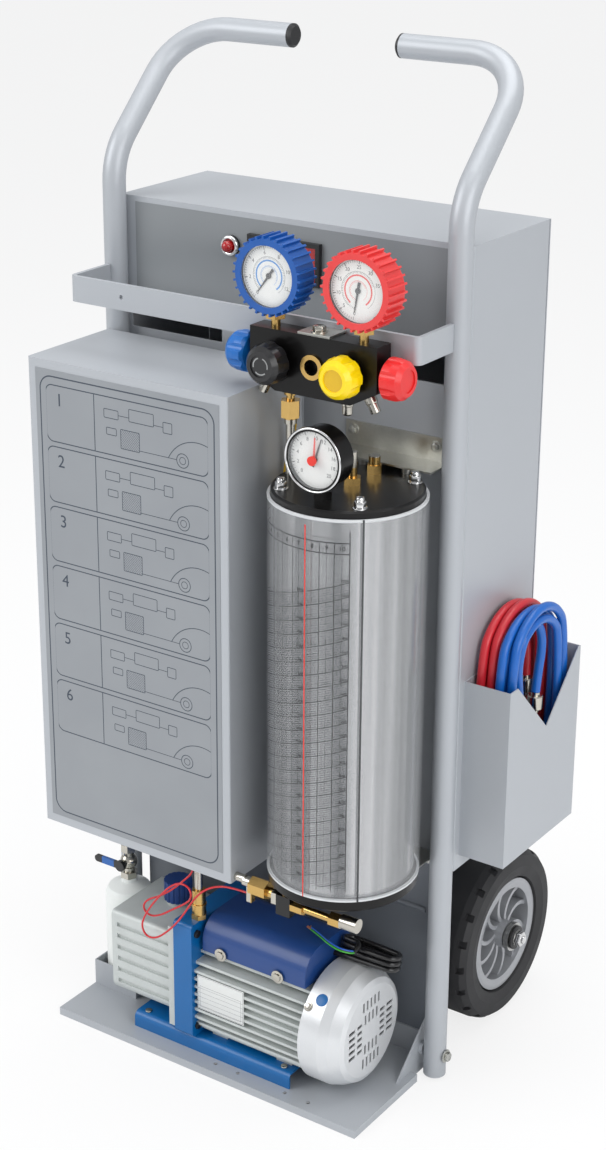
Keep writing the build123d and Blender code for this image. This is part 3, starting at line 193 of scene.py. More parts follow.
for label, place, size, power, aim in (
        ("key_lamp", (-2.2, -2.6, 2.6), 2.4, 66, (0, 0, 0.6)),
        ("fill_lamp", (2.8, -1.2, 1.8), 2.2, 44, (0, 0, 0.6)),
        ("top_lamp", (0.2, 0.4, 3.4), 2.6, 54, (0, 0, 0.5))):
    lamp = bpy.data.objects.new(label, bpy.data.lights.new(label, "AREA"))
    bpy.context.scene.collection.objects.link(lamp)
    lamp.data.size = size
    lamp.data.energy = power
    lamp.location = place
    lamp.rotation_euler = (Vector(aim) - Vector(place)).to_track_quat("-Z", "Y").to_euler()


# Painted sheet metal and tube: the tray, uprights, rail, cabinet, box and pocket are mild steel under one
# coat of silver-grey powder paint with a faint orange peel; the rear panel's darker coat is painted shade.
# Zinc-plated bolts pass through the uprights' feet, and black discs under the tray's four open spare holes
# are painted shade.
model_x, model_y = 26.65, 50.8


def at(x, y, z):
    """A place given in the machine's millimetres, as metres in the model's own frame."""
    return Vector(((x - model_x) / 1000, (y - model_y) / 1000, z / 1000))


def tone(red, green, blue):
    """A colour named by its three screen values from 0 to 255."""
    parts = [value / 255 for value in (red, green, blue)]
    return [p / 12.92 if p < 0.04 else ((p + 0.055) / 1.055) ** 2.4 for p in parts] + [1]


def surface(name, colour, roughness, metallic=0.0, coat=0.0, patch=0.08, drift=0.06, grain=0.0012,
            depth=0.00003):
    """A finish whose colour and gloss drift over soft patches and whose skin has a fine grain."""
    made = Finish(name, metallic, coat)
    cloud = made.noise(1 / patch, 4)
    skin = made.noise(1 / grain, 2)
    dark = [part * (1 - drift * 1.6) for part in colour[:3]] + [1]
    light = [min(1, part * (1 + drift)) for part in colour[:3]] + [1]
    made.set("Base Color", made.blend(dark, light, cloud * 0.7 + skin * 0.3))
    made.set("Roughness", roughness * 0.8 + cloud * (roughness * 0.4))
    made.bump(skin, depth)
    return made


def dress(finish, *nodes):
    """Gives CAD pieces their finish."""
    for node in nodes:
        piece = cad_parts[node]
        piece.data.materials.clear()
        piece.data.materials.append(finish.material)


def settle(piece, name, body, finish):
    """Applies a new piece's place to its mesh, names it, paints it and lets it ride on a body."""
    bpy.ops.object.select_all(action="DESELECT")
    piece.select_set(True)
    bpy.context.view_layer.objects.active = piece
    bpy.ops.object.transform_apply(location=True, rotation=True, scale=True)
    piece.name = name
    piece.data.name = name
    piece.data.materials.clear()
    piece.data.materials.append(finish.material)
    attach(piece, body)


def ease(piece, edge):
    """Rounds a piece's sharp edges by some millimetres and shades its curves smooth."""
    if edge:
        bevel = piece.modifiers.new("ease", "BEVEL")
        bevel.width = edge / 1000
        bevel.segments = 2
        bevel.limit_method = "ANGLE"
        bpy.ops.object.modifier_apply(modifier="ease")
    bpy.ops.object.shade_smooth_by_angle(angle=math.radians(35))
    return piece


quarter = math.radians(90)
laid_along = {"x": (0, quarter, 0), "y": (quarter, 0, 0), "z": (0, 0, 0)}


def drum(centre, radius, length, axis="z", edge=0.0, sides=48):
    """A round or many-sided bar about an axis, centred on a point in the machine's millimetres."""
    bpy.ops.object.select_all(action="DESELECT")
    bpy.ops.mesh.primitive_cylinder_add(vertices=sides, radius=radius / 1000, depth=length / 1000,
                                        location=at(*centre), rotation=laid_along[axis])
    return ease(bpy.context.object, edge)


def merge(pieces):
    """Joins pieces into the first of them."""
    bpy.ops.object.select_all(action="DESELECT")
    for piece in pieces:
        piece.select_set(True)
    bpy.context.view_layer.objects.active = pieces[0]
    bpy.ops.object.join()
    return pieces[0]


paint = surface("grey_powder_paint", tone(178, 182, 187), 0.4, 0.2, 0.0, patch=0.12, drift=0.03,
                grain=0.0016, depth=0.00004)
dress(paint, "base_tray", "upright_left", "upright_right", "gauge_rail", "cabinet_shell", "cabinet_back",
      "box_shell", "box_back", "hose_pocket")
# The rear panel's grey is darker than the rest of the paint: painted shade for the shadow that falls on it
# behind the pump.
painted_shade_coat = surface("rear_panel_painted_shade", tone(116, 121, 128), 0.45, 0.2, 0.0, patch=0.12, drift=0.05,
                      grain=0.0016, depth=0.00004)
dress(painted_shade_coat, "rear_panel")
black_plastic = surface("black_moulding", tone(30, 30, 32), 0.45, patch=0.02, drift=0.1)
dress(black_plastic, "grip_caps")

zinc = surface("zinc_plate", tone(200, 200, 194), 0.34, 1.0, patch=0.012, drift=0.12, grain=0.003)
bolt_y, bolt_z = 0, 32
frame_bolts = []
for side in (-1, 1):
    frame_bolts.append(drum((side * 244.6, bolt_y, bolt_z), radius=8, length=1.6, axis="x", edge=0.3))
    frame_bolts.append(drum((side * 247.4, bolt_y, bolt_z), radius=6, length=4, axis="x", edge=0.8, sides=6))
settle(merge(frame_bolts), "frame_bolts", "machine", zinc)

# Black discs under the tray's four spare holes are painted shade: the holes are open, and the discs darken
# them.
hole_shade_y, hole_shade_z = -145.3, 6.4
hole_shade_discs = []
for hole_shade_x in (11.6, 44.6, 112.7, 145.7):
    hole_shade_discs.append(drum((hole_shade_x, hole_shade_y, hole_shade_z), radius=3.6, length=2, edge=0.3))
settle(merge(hole_shade_discs), "tray_hole_shades", "machine", black_plastic)


# Wheels: moulded silver rims with ten spokes carry solid black rubber tyres and turn on a steel axle.
# A black washer and a chromed nut close each hub.
hub_y, hub_z = 168, 110
steel = surface("turned_steel", tone(190, 190, 188), 0.3, 1.0, patch=0.03, drift=0.05)
dress(steel, "axle")
tyre = surface("tyre_rubber", tone(40, 40, 42), 0.62, patch=0.03, drift=0.14, grain=0.0009, depth=0.00006)
dress(tyre, "wheel_left_tyre", "wheel_right_tyre")
rim = surface("silver_moulding", tone(166, 168, 172), 0.36, 0.35, patch=0.03, drift=0.05)
dress(rim, "wheel_left_rim", "wheel_right_rim")
chrome = surface("chrome_plate", tone(226, 226, 226), 0.12, 1.0, patch=0.02, drift=0.03, depth=0.000004)
for side, name in ((-1, "left"), (1, "right")):
    washer = drum((side * 241.5, hub_y, hub_z), radius=15, length=3, axis="x", edge=0.8)
    settle(washer, "hub_washer_" + name, "machine", black_plastic)
    nut = drum((side * 247, hub_y, hub_z), radius=10, length=8, axis="x", edge=1.2, sides=6)
    axle_end = drum((side * 252, hub_y, hub_z), radius=5, length=4, axis="x", edge=1)
    settle(merge([nut, axle_end]), "hub_nut_" + name, "machine", chrome)


# Cabinet front: a printed film covers the sheet and carries a red lamp in a chromed collar, a panel meter
# in a black bezel and a rocker switch with its two positions printed above and below it.
def hoop(centre, radius, wire):
    """A plain ring of round wire that faces the front."""
    bpy.ops.object.select_all(action="DESELECT")
    bpy.ops.mesh.primitive_torus_add(major_radius=radius / 1000, minor_radius=wire / 1000, major_segments=72,
                                     minor_segments=16, location=at(*centre), rotation=laid_along["y"])
    return ease(bpy.context.object, 0)


def letters(name, marks, size, body, finish):
    """Printed figures joined into one thin piece; each mark is (text, place, turn about the upright)."""
    parts = []
    for text, place, turn in marks:
        bpy.ops.object.select_all(action="DESELECT")
        bpy.ops.object.text_add(location=at(*place), rotation=(quarter, 0, math.radians(turn)))
        label = bpy.context.object
        label.data.body = text
        label.data.align_x = "CENTER"
        label.data.align_y = "CENTER"
        label.data.size = size / 1000
        label.data.extrude = 0.00004
        bpy.ops.object.convert(target="MESH")
        parts.append(bpy.context.object)
    settle(merge(parts), name, body, finish)


film = surface("panel_film", tone(138, 142, 145), 0.4, 0.15, patch=0.1, drift=0.03, depth=0.00002)
dress(film, "control_film")
dress(black_plastic, "panel_fittings", "rocker_switch")
red_lens = surface("red_lens", tone(172, 12, 18), 0.12, 0.0, 0.6, patch=0.006, drift=0.25, depth=0.00002)
dress(red_lens, "red_lenses")
settle(hoop((-73, 8.6, 966), radius=9.4, wire=2.6), "lamp_collar", "machine", chrome)
print_ink = surface("print_ink", tone(56, 66, 80), 0.5, patch=0.02, drift=0.05, depth=0.00001)
switch_x, switch_film_y = 108, 13.3
switch_words = [("ON", (switch_x, switch_film_y, 983), 0), ("OFF", (switch_x, switch_film_y, 934), 0)]
letters("panel_figures", switch_words, 7, "machine", print_ink)


# Service box: a closed sheet-steel box over the recovery unit's steel parts. The film on its front shows
# six steps of the work as framed line drawings, each with its number.
def near(strand, place, reach):
    """1 where a value is within reach of a place."""
    return strand.sum("ABSOLUTE", strand - place) < reach


def between(strand, low, high):
    """1 where a value lies between two others."""
    return (strand > low) * (strand < high)


def off_line(strand, pitch):
    """How far a value is from the nearest of many lines at an even pitch."""
    return strand.sum("PINGPONG", strand, pitch / 2)


def capped(strand, most=1):
    """A value held below a limit."""
    return strand.sum("MINIMUM", strand, most)


def drawn_box(x, z, middle, half, corner, line):
    """1 along the outline of a box with round corners, given by its middle and half its sides."""
    far_x = x.sum("MAXIMUM", x.sum("ABSOLUTE", x - middle[0]) - (half[0] - corner), 0)
    far_z = x.sum("MAXIMUM", x.sum("ABSOLUTE", z - middle[1]) - (half[1] - corner), 0)
    return near((far_x * far_x + far_z * far_z) ** 0.5, corner, line / 2)


def drawn_ring(x, z, middle, radius, line):
    """1 along a circle."""
    return drawn_box(x, z, middle, (radius, radius), radius - 0.1, line)


dress(steel, "recovery_unit")
film_left, film_low, film_front = -222, 281.5, -156.25
film_middle = 127.5
step_count, step_pitch, step_top = 6, 72, 545
number_line = 84
row_half = 33
procedure = Finish("procedure_print", 0.15)
film_x, _, film_z = [axis * 1000 for axis in procedure.axes(at(film_left, 0, film_low))]
rows = between(film_z, step_top - step_count * step_pitch, step_top)
below_top = step_top - film_z
row_z = step_pitch / 2 - below_top.sum("FLOORED_MODULO", below_top, step_pitch)
row_ink = drawn_box(film_x, row_z, (film_middle, 0), (113, row_half), 9, 1.3)
row_ink = row_ink + near(film_x, number_line, 0.6) * near(row_z, 0, row_half)
for middle, half in (((108, 14), (10, 5)), ((150, 17), (17, 7)), ((134, -12), (13, 11)),
                     ((186, 12), (6, 6)), ((108, -6), (7, 4))):
    row_ink = row_ink + drawn_box(film_x, row_z, middle, half, 1.2, 0.9)
row_ink = row_ink + drawn_ring(film_x, row_z, (206, -21), 8, 1.0)
row_ink = row_ink + drawn_ring(film_x, row_z, (206, -21), 4, 0.8)
row_ink = row_ink + drawn_ring(film_x, row_z, (226, -41), 44, 1.0) * (film_x < 240) * (row_z > -21)
for low_x, high_x, level in ((118, 133, 14), (167, 180, 12), (147, 198, -21)):
    row_ink = row_ink + between(film_x, low_x, high_x) * near(row_z, level, 0.4)
hatch = off_line(film_x + row_z, 3.2) < 0.35
row_ink = row_ink + hatch * near(film_x, 134, 13) * near(row_z, -12, 11)
row_ink = row_ink * between(film_x, 15, 240) * near(row_z, 0, row_half + 1) * rows
film_ink = capped(drawn_box(film_x, film_z, (film_middle, 279.5), (121, 272), 16, 1.6) + row_ink)
film_cloud = procedure.noise(10)
film_ground = procedure.blend(tone(138, 142, 147), tone(152, 156, 160), film_cloud)
procedure.set("Base Color", procedure.blend(film_ground, tone(52, 62, 76), film_ink * 0.95))
procedure.set("Roughness", film_cloud * 0.12 + 0.34)
procedure.bump(procedure.noise(600), 0.00002)
dress(procedure, "procedure_film")
step_marks = []
for step in range(step_count):
    row_centre = film_low + step_top - (step + 0.5) * step_pitch
    step_marks.append((str(step + 1), (film_left + 34, film_front, row_centre + 16), 0))
letters("step_numbers", step_marks, 21, "machine", print_ink)


# Gauge manifold: a black anodised block hangs from the rail by a nickel bolt. Four knobs work its valves,
# and two glycerine gauges in ribbed rubber boots stand on brass stems.
def two_metals(name, plain, plated, share):
    """One finish with stretches of another; each look is (colour, metallic), and share says where."""
    made = Finish(name)
    other = capped(share(*[axis * 1000 for axis in made.axes(at(0, 0, 0))]))
    made.set("Base Color", made.blend(plain[0], plated[0], other))
    made.set("Metallic", other * (plated[1] - plain[1]) + plain[1])
    made.set("Roughness", made.noise(90) * 0.1 + 0.18)
    made.bump(made.noise(800), 0.00001)
    return made


def polar(across, up):
    """The distance from the centre in millimetres, and the angle clockwise from the top in degrees."""
    reach = (across * across + up * up) ** 0.5 * 1000
    return reach, across.sum("ARCTAN2", across, up) * (180 / math.pi)


gloss_black = surface("gloss_black", tone(9, 8, 8), 0.3, 0.0, 0.12, patch=0.03, drift=0.2, depth=0.00001)
gloss_black.shader.inputs["Specular IOR Level"].default_value = 0.25
dress(gloss_black, "manifold_block")
brass_look = (tone(206, 170, 104), 1.0)
nickel_look = (tone(196, 192, 182), 1.0)
black_look = (tone(9, 8, 8), 0.0)
case_metals = two_metals("case_and_stem", black_look, brass_look, lambda x, y, z: z < 939)
dress(case_metals, "gauge_cases")
union_metals = two_metals("union_and_nipples", brass_look, nickel_look,
                          lambda x, y, z: (x > 140) + (x < 60) + (z < 822))
dress(union_metals, "block_fittings")
nickel = surface("nickel_plate", tone(196, 192, 182), 0.2, 1.0, patch=0.008, drift=0.06)
tab_x, tab_y = 122.5, -101
tab_washer = drum((tab_x, tab_y, 922.8), radius=9, length=1.4, edge=0.3)
tab_head = drum((tab_x, tab_y, 926), radius=7.4, length=6, edge=0.9, sides=6)
settle(merge([tab_washer, tab_head]), "tab_bolt", "machine", nickel)

for node, colour, label in (
        ("knob_blue", tone(14, 104, 186), "blue_knob"), ("knob_red", tone(226, 40, 40), "red_knob"),
        ("low_boot", tone(16, 84, 164), "blue_boot"), ("high_boot", tone(224, 62, 62), "red_boot")):
    dress(surface(label, colour, 0.36, 0.0, 0.15, patch=0.015, drift=0.08, depth=0.00002), node)
knob_face_y, knob_z = -144, 887.15
for node, knob_x, colour, mark_colour in (
        ("knob_black", 77.1, tone(24, 24, 26), tone(170, 172, 172)),
        ("knob_yellow", 167.9, tone(248, 214, 0), tone(206, 160, 10))):
    knob = Finish(node + "_skin", 0, 0.2)
    off_x, off_y, off_z = knob.axes(at(knob_x, knob_face_y, knob_z))
    reach, turn = polar(off_x, off_z)
    if node == "knob_black":
        printed = between(reach, 8.2, 9.6) * (off_line(turn, 120) > 18)
    else:
        printed = reach < 11.4
    cloud = knob.noise(70)
    print_share = printed * (off_y < 0.004) * (cloud * 0.3 + 0.6)
    knob.set("Base Color", knob.blend(colour, mark_colour, print_share))
    knob.set("Roughness", cloud * 0.16 + 0.26)
    knob.bump(knob.noise(700), 0.00002)
    dress(knob, node)

pointer_black = surface("pointer_black", tone(24, 24, 26), 0.4, patch=0.01, drift=0.05)
dress(pointer_black, "low_pointer", "high_pointer")
dial_ink = tone(40, 42, 46)
band_start, band_span = 215, 290


def dial(name, centre, radius, start, span, bands, scales, figures, figure_reach, figure_size):
    """A printed card whose scales run clockwise from start, an angle from the top, over span degrees.

    A band is (inner, outer, colour) and a scale is (inner, outer, step, width, colour).
    """
    card = Finish(name + "_print")
    across, _, up = card.axes(at(*centre))
    reach, turn = polar(across, up)
    phase = turn.sum("FLOORED_MODULO", turn - start, 360)
    band_phase = turn.sum("FLOORED_MODULO", turn - band_start, 360)
    colour = card.blend(tone(236, 236, 232), tone(224, 224, 222), card.noise(80))
    for inner, outer, shade in bands:
        colour = card.blend(colour, shade, between(reach, inner, outer) * (band_phase < band_span))
    for inner, outer, step, width, shade in scales:
        off_mark = off_line(phase, step) * reach * (math.pi / 180)
        line = between(reach, inner, outer) * (off_mark < width / 2) * (phase < span + 0.4)
        colour = card.blend(colour, shade, line)
    card.set("Base Color", colour)
    card.set("Roughness", card.noise(60) * 0.1 + 0.45)
    settle(drum(centre, radius, length=0.4, axis="y", sides=72), name, "machine", card)
    marks = []
    for index, figure in enumerate(figures):
        angle = math.radians(start + span * index / (len(figures) - 1))
        place = (centre[0] + figure_reach * math.sin(angle), centre[1] - 0.25,
                 centre[2] + figure_reach * math.cos(angle))
        marks.append((str(figure), place, 0))
    letters(name + "_figures", marks, figure_size, "machine", pointer_black)


for name, dial_x, start, span, shade, figures in (
        ("low_dial", 67.5, 217, 260, tone(30, 130, 205), range(0, 13, 2)),
        ("high_dial", 177.5, 190, 240, tone(222, 60, 56), range(0, 36, 5))):
    bands = [(15.2, 17, shade), (31.2, 31.6, dial_ink), (20, 20.3, dial_ink), (10.5, 10.8, shade)]
    scales = [(29, 31.4, 5.2, 0.4, dial_ink), (27.4, 31.4, span / (len(figures) - 1), 0.8, dial_ink),
              (18, 20.2, 5.2, 0.4, dial_ink), (8.8, 10.6, 9, 0.4, shade)]
    dial(name, (dial_x, -113.3, 976), 33, start, span, bands, scales, figures, figure_reach=24.4,
         figure_size=5.6)
lens = Finish("clear_lens")
lens.set("Base Color", (0.95, 0.97, 0.98, 1))
lens.set("Roughness", lens.noise(60) * 0.04 + 0.03)
lens.set("Alpha", lens.noise(35) * 0.04 + 0.07)
dress(lens, "gauge_lenses")


# Charging cylinder: a polished steel pressure vessel stands between two black flanges inside a clear
# sleeve. The sleeve is turned by hand to line up the printed chart of weights with the pressure on the
# gauge. Galvanised brackets and two screws hold it to the frame.
axis_x, axis_y = 153.5, -90
polish = Finish("polished_steel", 1.0)
# The dark and light upright streaks in the vessel's colour are painted reflections in its polished skin.
painted_reflection_streaks = (polish.noise(34, 3, (1, 1, 0.015)) - 0.38) * 4.2
painted_reflection_streaks = capped(painted_reflection_streaks.sum("MAXIMUM", painted_reflection_streaks, 0))
polish.set("Base Color", polish.blend(tone(70, 71, 74), tone(186, 186, 187), painted_reflection_streaks))
polish.set("Roughness", polish.noise(20) * 0.08 + 0.1)
polish.bump(polish.noise(60, 2, (1, 1, 0.03)), 0.00012)
dress(polish, "vessel")
dress(gloss_black, "cylinder_flanges", "cylinder_gauge")
dress(zinc, "mounting_brackets")

train = Finish("feed_train_metals")
train_x, _, train_z = [axis * 1000 for axis in train.axes(at(0, 0, 0))]
plated = capped((train_x > 189.3) + (train_x < 66) + between(train_x, 96.4, 104) + (train_z > 776))
valve = between(train_x, 103.5, 122.7) * (train_z < 276.2)
train_colour = train.blend(brass_look[0], nickel_look[0], plated)
train.set("Base Color", train.blend(train_colour, black_look[0], valve))
train.set("Metallic", 1 - valve)
train.set("Roughness", train.noise(90) * 0.1 + 0.18)
train.bump(train.noise(800), 0.00001)
dress(train, "cylinder_fittings")

chart_right, chart_step, chart_columns = 34.8, 10.7, 10
chart_top, chart_pitch, chart_low = 681, 16, 320
chart_rise = 0.47
head_low, head_high, border_top = 712, 724, 737
chart_foot = chart_low - 4
sleeve = Finish("printed_sleeve")
off_x, off_y, height = sleeve.axes(at(axis_x, axis_y, 0))
reach, azimuth = polar(off_x, off_y * -1)
height = height * 1000
left = chart_right - azimuth
level = chart_top - height + (azimuth - chart_right) * chart_rise
upright_lines = (off_line(left, chart_step) < 0.3) + (off_line(left, chart_step / 2) < 0.13)
upright_lines = upright_lines * between(height, chart_foot, head_high)
level_lines = (off_line(level, chart_pitch) < 0.55) + (off_line(level, chart_pitch / 6) < 0.2)
level_lines = level_lines * (level > -0.4) * (height > chart_low)
head_lines = near(height, head_low, 0.6) + near(height, head_high, 0.6)
chart_lines = upright_lines + level_lines + head_lines
chart_lines = chart_lines * between(left, -0.2, chart_step * chart_columns + 0.2)
border = near(left, 0, 0.35) * between(height, chart_foot, border_top)
seam = near(azimuth, 44, 0.75)
outside = reach > 85
sleeve_ink = capped(chart_lines + border + seam) * outside
red_line = near(azimuth, 2.5, 0.5) * (height < 740) * outside
# The sleeve's top and bottom rims are made whiter and less clear: a painted highlight on its cut ends.
painted_rim_highlight = (height > 746.5) + (height < 305.5)
sleeve_colour = sleeve.blend((0.86, 0.88, 0.9, 1), tone(46, 48, 52), sleeve_ink)
sleeve.set("Base Color", sleeve.blend(sleeve_colour, tone(214, 52, 40), red_line))
sleeve.set("Roughness", sleeve.noise(30) * 0.05 + 0.04)
sleeve.set("Alpha", capped(sleeve_ink * 0.8 + red_line * 0.85 + painted_rim_highlight * 0.5 + 0.13, 0.95))
dress(sleeve, "scale_shroud")
figure_r = 86.6
top_weight, weight_step, weight_count = 2200, 100, 22


def on_sleeve(degrees, z):
    """A place just outside the sleeve, at an angle from the front."""
    turn = math.radians(degrees)
    return axis_x + figure_r * math.sin(turn), axis_y - figure_r * math.cos(turn), z


chart_marks = []
for line in range(weight_count):
    for degrees in (31.5, -1.5):
        mark_z = chart_top - chart_pitch * line + (degrees - chart_right) * chart_rise + 2.6
        chart_marks.append((str(top_weight - weight_step * line), on_sleeve(degrees, mark_z), degrees))
letters("chart_weights", chart_marks, 4.2, "scale_shroud", pointer_black)
head_marks = []
for step in range(chart_columns):
    degrees = chart_right - chart_step * (step + 0.5)
    head_marks.append((str(chart_columns - step), on_sleeve(degrees, (head_low + head_high) / 2), degrees))
letters("chart_pressures", head_marks, 7, "scale_shroud", pointer_black)

gauge_z = 803.4
dress(pointer_black, "cylinder_pointer")
dress(surface("marker_red", tone(226, 52, 40), 0.34, patch=0.01, drift=0.08), "marker_hand")
dial("cylinder_dial", (axis_x, -152.3, gauge_z), 32, 228, 264, [(30.4, 30.8, dial_ink)],
     [(28.4, 30.6, 6.6, 0.4, dial_ink), (26.6, 30.6, 26.4, 0.8, dial_ink)], range(0, 21, 2),
     figure_reach=22.5, figure_size=5.8)
settle(hoop((axis_x, -157.4, gauge_z), radius=34, wire=1.3), "cylinder_bezel", "machine", chrome)

stud_r = 72
top_nuts = []
for degrees in (43, 133, 223, 313):
    stud_x = axis_x + stud_r * math.cos(math.radians(degrees))
    stud_y = axis_y + stud_r * math.sin(math.radians(degrees))
    top_nuts.append(drum((stud_x, stud_y, 757.7), radius=8, length=1.4, edge=0.3))
    top_nuts.append(drum((stud_x, stud_y, 761.8), radius=6.6, length=7, edge=0.8, sides=6))
    top_nuts.append(drum((stud_x, stud_y, 767), radius=4.6, length=6, edge=2.2))
settle(merge(top_nuts), "stud_nuts", "machine", chrome)
bracket_z = 782
angle_screws = []
for screw_x in (93.7, 199.8):
    angle_screws.append(drum((screw_x, 11.2, bracket_z), radius=6.5, length=1.2, axis="y", edge=0.3))
    angle_screws.append(drum((screw_x, 8.8, bracket_z), radius=4.8, length=4, axis="y", edge=0.7, sides=6))
settle(merge(angle_screws), "angle_screws", "machine", zinc)


# Vacuum pump: a ribbed cast oil case and a finned motor are bolted to a blue flange on a folded blue base.
# A blue hood covers the motor's capacitor, and a spun silver cover guards the fan.
def block(centre, size, edge):
    """A box with eased edges, centred on a point."""
    bpy.ops.object.select_all(action="DESELECT")
    bpy.ops.mesh.primitive_cube_add(size=1, location=at(*centre))
    bpy.context.object.scale = [side / 1000 for side in size]
    bpy.ops.object.transform_apply(location=False, rotation=False, scale=True)
    return ease(bpy.context.object, edge)


blue_enamel = surface("blue_enamel", tone(0, 98, 164), 0.36, 0.0, 0.1, patch=0.05, drift=0.08)
dress(blue_enamel, "pump_base", "pump_flange")
dress(surface("blue_hood_paint", tone(26, 66, 130), 0.4, 0.0, 0.2, patch=0.05, drift=0.08), "motor_cover")
dress(surface("cap_blue", tone(22, 62, 128), 0.4, patch=0.015, drift=0.1), "oil_cap")
cast = surface("cast_aluminium", tone(202, 207, 205), 0.5, 0.25, patch=0.02, drift=0.08, grain=0.002,
               depth=0.00012)
dress(cast, "oil_case", "motor_housing")
spun = surface("silver_enamel", tone(222, 224, 226), 0.34, 0.4, patch=0.04, drift=0.04, depth=0.00004)
dress(spun, "fan_cover")
dress(black_plastic, "fan_impeller")
dress(two_metals("intake_metals", brass_look, nickel_look, lambda x, y, z: z > 222.5), "intake_line")

hood_screws = []
for screw_x in (10, 92):
    hood_screws.append(drum((screw_x, -131.2, 153), radius=8.2, length=2.2, axis="y", edge=0.5))
    hood_screws.append(drum((screw_x, -133, 153), radius=5.2, length=3, axis="y", edge=1.4))
settle(merge(hood_screws), "hood_screws", "machine", nickel)
flange_screws = [drum((-24, -132, screw_z), radius=5, length=4, axis="x", edge=0.6) for screw_z in (44, 170)]
settle(merge(flange_screws), "flange_screws", "machine", pointer_black)
base_screws = [drum((screw_x, -127, 31.6), radius=4.4, length=2.4, edge=1.0) for screw_x in (-104, 99)]
settle(merge(base_screws), "base_screws", "machine", nickel)

label_x, label_z = 14, 96
plate = Finish("rating_plate_print", 0.3)
plate_x, _, plate_z = [axis * 1000 for axis in plate.axes(at(label_x, 0, label_z))]
plate_ink = drawn_box(plate_x, plate_z, (0, 0), (33, 22), 1.5, 0.6)
plate_ink = plate_ink + drawn_box(plate_x, plate_z, (0, -5), (30, 14), 0.5, 0.5)
plate_ink = plate_ink + (off_line(plate_z, 6) < 0.22) * between(plate_z, -19, 9)
plate_ink = capped(plate_ink * near(plate_x, 0, 33.4))
plate.set("Base Color", plate.blend(tone(226, 228, 226), tone(90, 94, 98), plate_ink * 0.7))
plate.set("Roughness", plate.noise(40) * 0.1 + 0.3)
motor_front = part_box("motor_housing")[0].y * 1000 + model_y
rating = block((label_x, motor_front - 0.5, label_z), (68, 1, 46), 0.3)
settle(rating, "rating_plate", "machine", plate)

pump_y, pump_z = -80, 90
cover_r = 74.6


def on_cover(x, degrees, radius, length, edge):
    """A small round piece standing on the fan cover's side, degrees above the level."""
    spot = math.radians(degrees)
    centre = (x, pump_y - cover_r * math.cos(spot), pump_z + cover_r * math.sin(spot))
    piece = drum(centre, radius, length, edge=edge)
    piece.rotation_euler = (quarter - spot, 0, 0)
    return piece


screw_x, screw_degrees = 141, 37.7
cover_screw = merge([on_cover(screw_x, screw_degrees, radius=5.6, length=1.4, edge=0.3),
                     on_cover(screw_x, screw_degrees, radius=3.8, length=5.4, edge=1.2)])
settle(cover_screw, "cover_screw", "machine", nickel)
cover_seal = on_cover(154, 47, radius=7.4, length=0.9, edge=0.2)
settle(cover_seal, "cover_seal", "machine", blue_enamel)


# Oil bottle: milky polythene shows the oil level, and a lever valve in nickel-plated brass closes its neck.
# The lever's middle is dipped in blue plastic.
dress(surface("milky_polythene", tone(240, 243, 240), 0.38, patch=0.02, drift=0.04), "oil_bottle")
dress(nickel, "bottle_valve")
lever_x, dip_half = -205, 9.5
lever = Finish("dipped_lever", 0, 0.3)
along = lever.axes(at(lever_x, 0, 0))[0] * 1000
lever.set("Base Color", lever.blend(tone(26, 26, 28), tone(20, 96, 176), near(along, 0, dip_half)))
lever.set("Roughness", lever.noise(80) * 0.2 + 0.3)
lever.bump(lever.noise(700), 0.00002)
dress(lever, "valve_lever")


# Hoses, mains lead and sensor wire: each is one smooth line of its real length. The two charging hoses are
# rubber and lie coiled in the pocket, the lead is a hank on the fan cover with three bare-ended wires, and
# the thin red wire hangs in loops before the pump.
def lay_cord(name, points, diameter, finish):
    """A round cord along given points, in the machine's millimetres."""
    curve = bpy.data.curves.new(name, "CURVE")
    curve.dimensions = "3D"
    curve.bevel_depth = diameter / 2000
    curve.bevel_resolution = 6
    curve.resolution_u = 8
    curve.use_fill_caps = True
    spline = curve.splines.new("NURBS")
    spline.points.add(len(points) - 1)
    for point, place in zip(spline.points, points):
        point.co = (*at(*place), 1)
    spline.order_u = 3
    spline.use_endpoint_u = True
    cord = bpy.data.objects.new(name, curve)
    bpy.context.scene.collection.objects.link(cord)
    curve.materials.append(finish.material)
    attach(cord, "machine")
    return cord


def oval(degrees, short, long):
    """A point of an oval with round ends and nearly straight sides, its long way second."""
    turn = math.radians(degrees)
    rise = max(-1, min(1, 2.2 * math.sin(turn)))
    return short * math.cos(turn), short * math.sin(turn) + (long - short) * rise


def shift(value, start, end):
    """0 before start, 1 after end and a smooth step between."""
    share = min(1, max(0, (value - start) / (end - start)))
    return share * share * (3 - 2 * share)


def run_length(points):
    """The length of a route, in metres."""
    return sum((at(*b) - at(*a)).length for a, b in zip(points, points[1:]))


coil_y, coil_z = 108, 436.7
coil_short, coil_long = 53, 129
lane, first_lane = 11.4, 5.5
coupling_y, arch_top = 140, 560
rising_part = [(11, 139.8, 497), (10.6, 139.5, 515), (9.6, 136, 533.5)]
top_part = [(8, 127, 551), (6.2, 113, 562), (first_lane, 97.5, 565), (first_lane, 80, 562),
            (first_lane, 66.5, 551.5), (first_lane, 58, 536), (first_lane, 55.6, 518)]


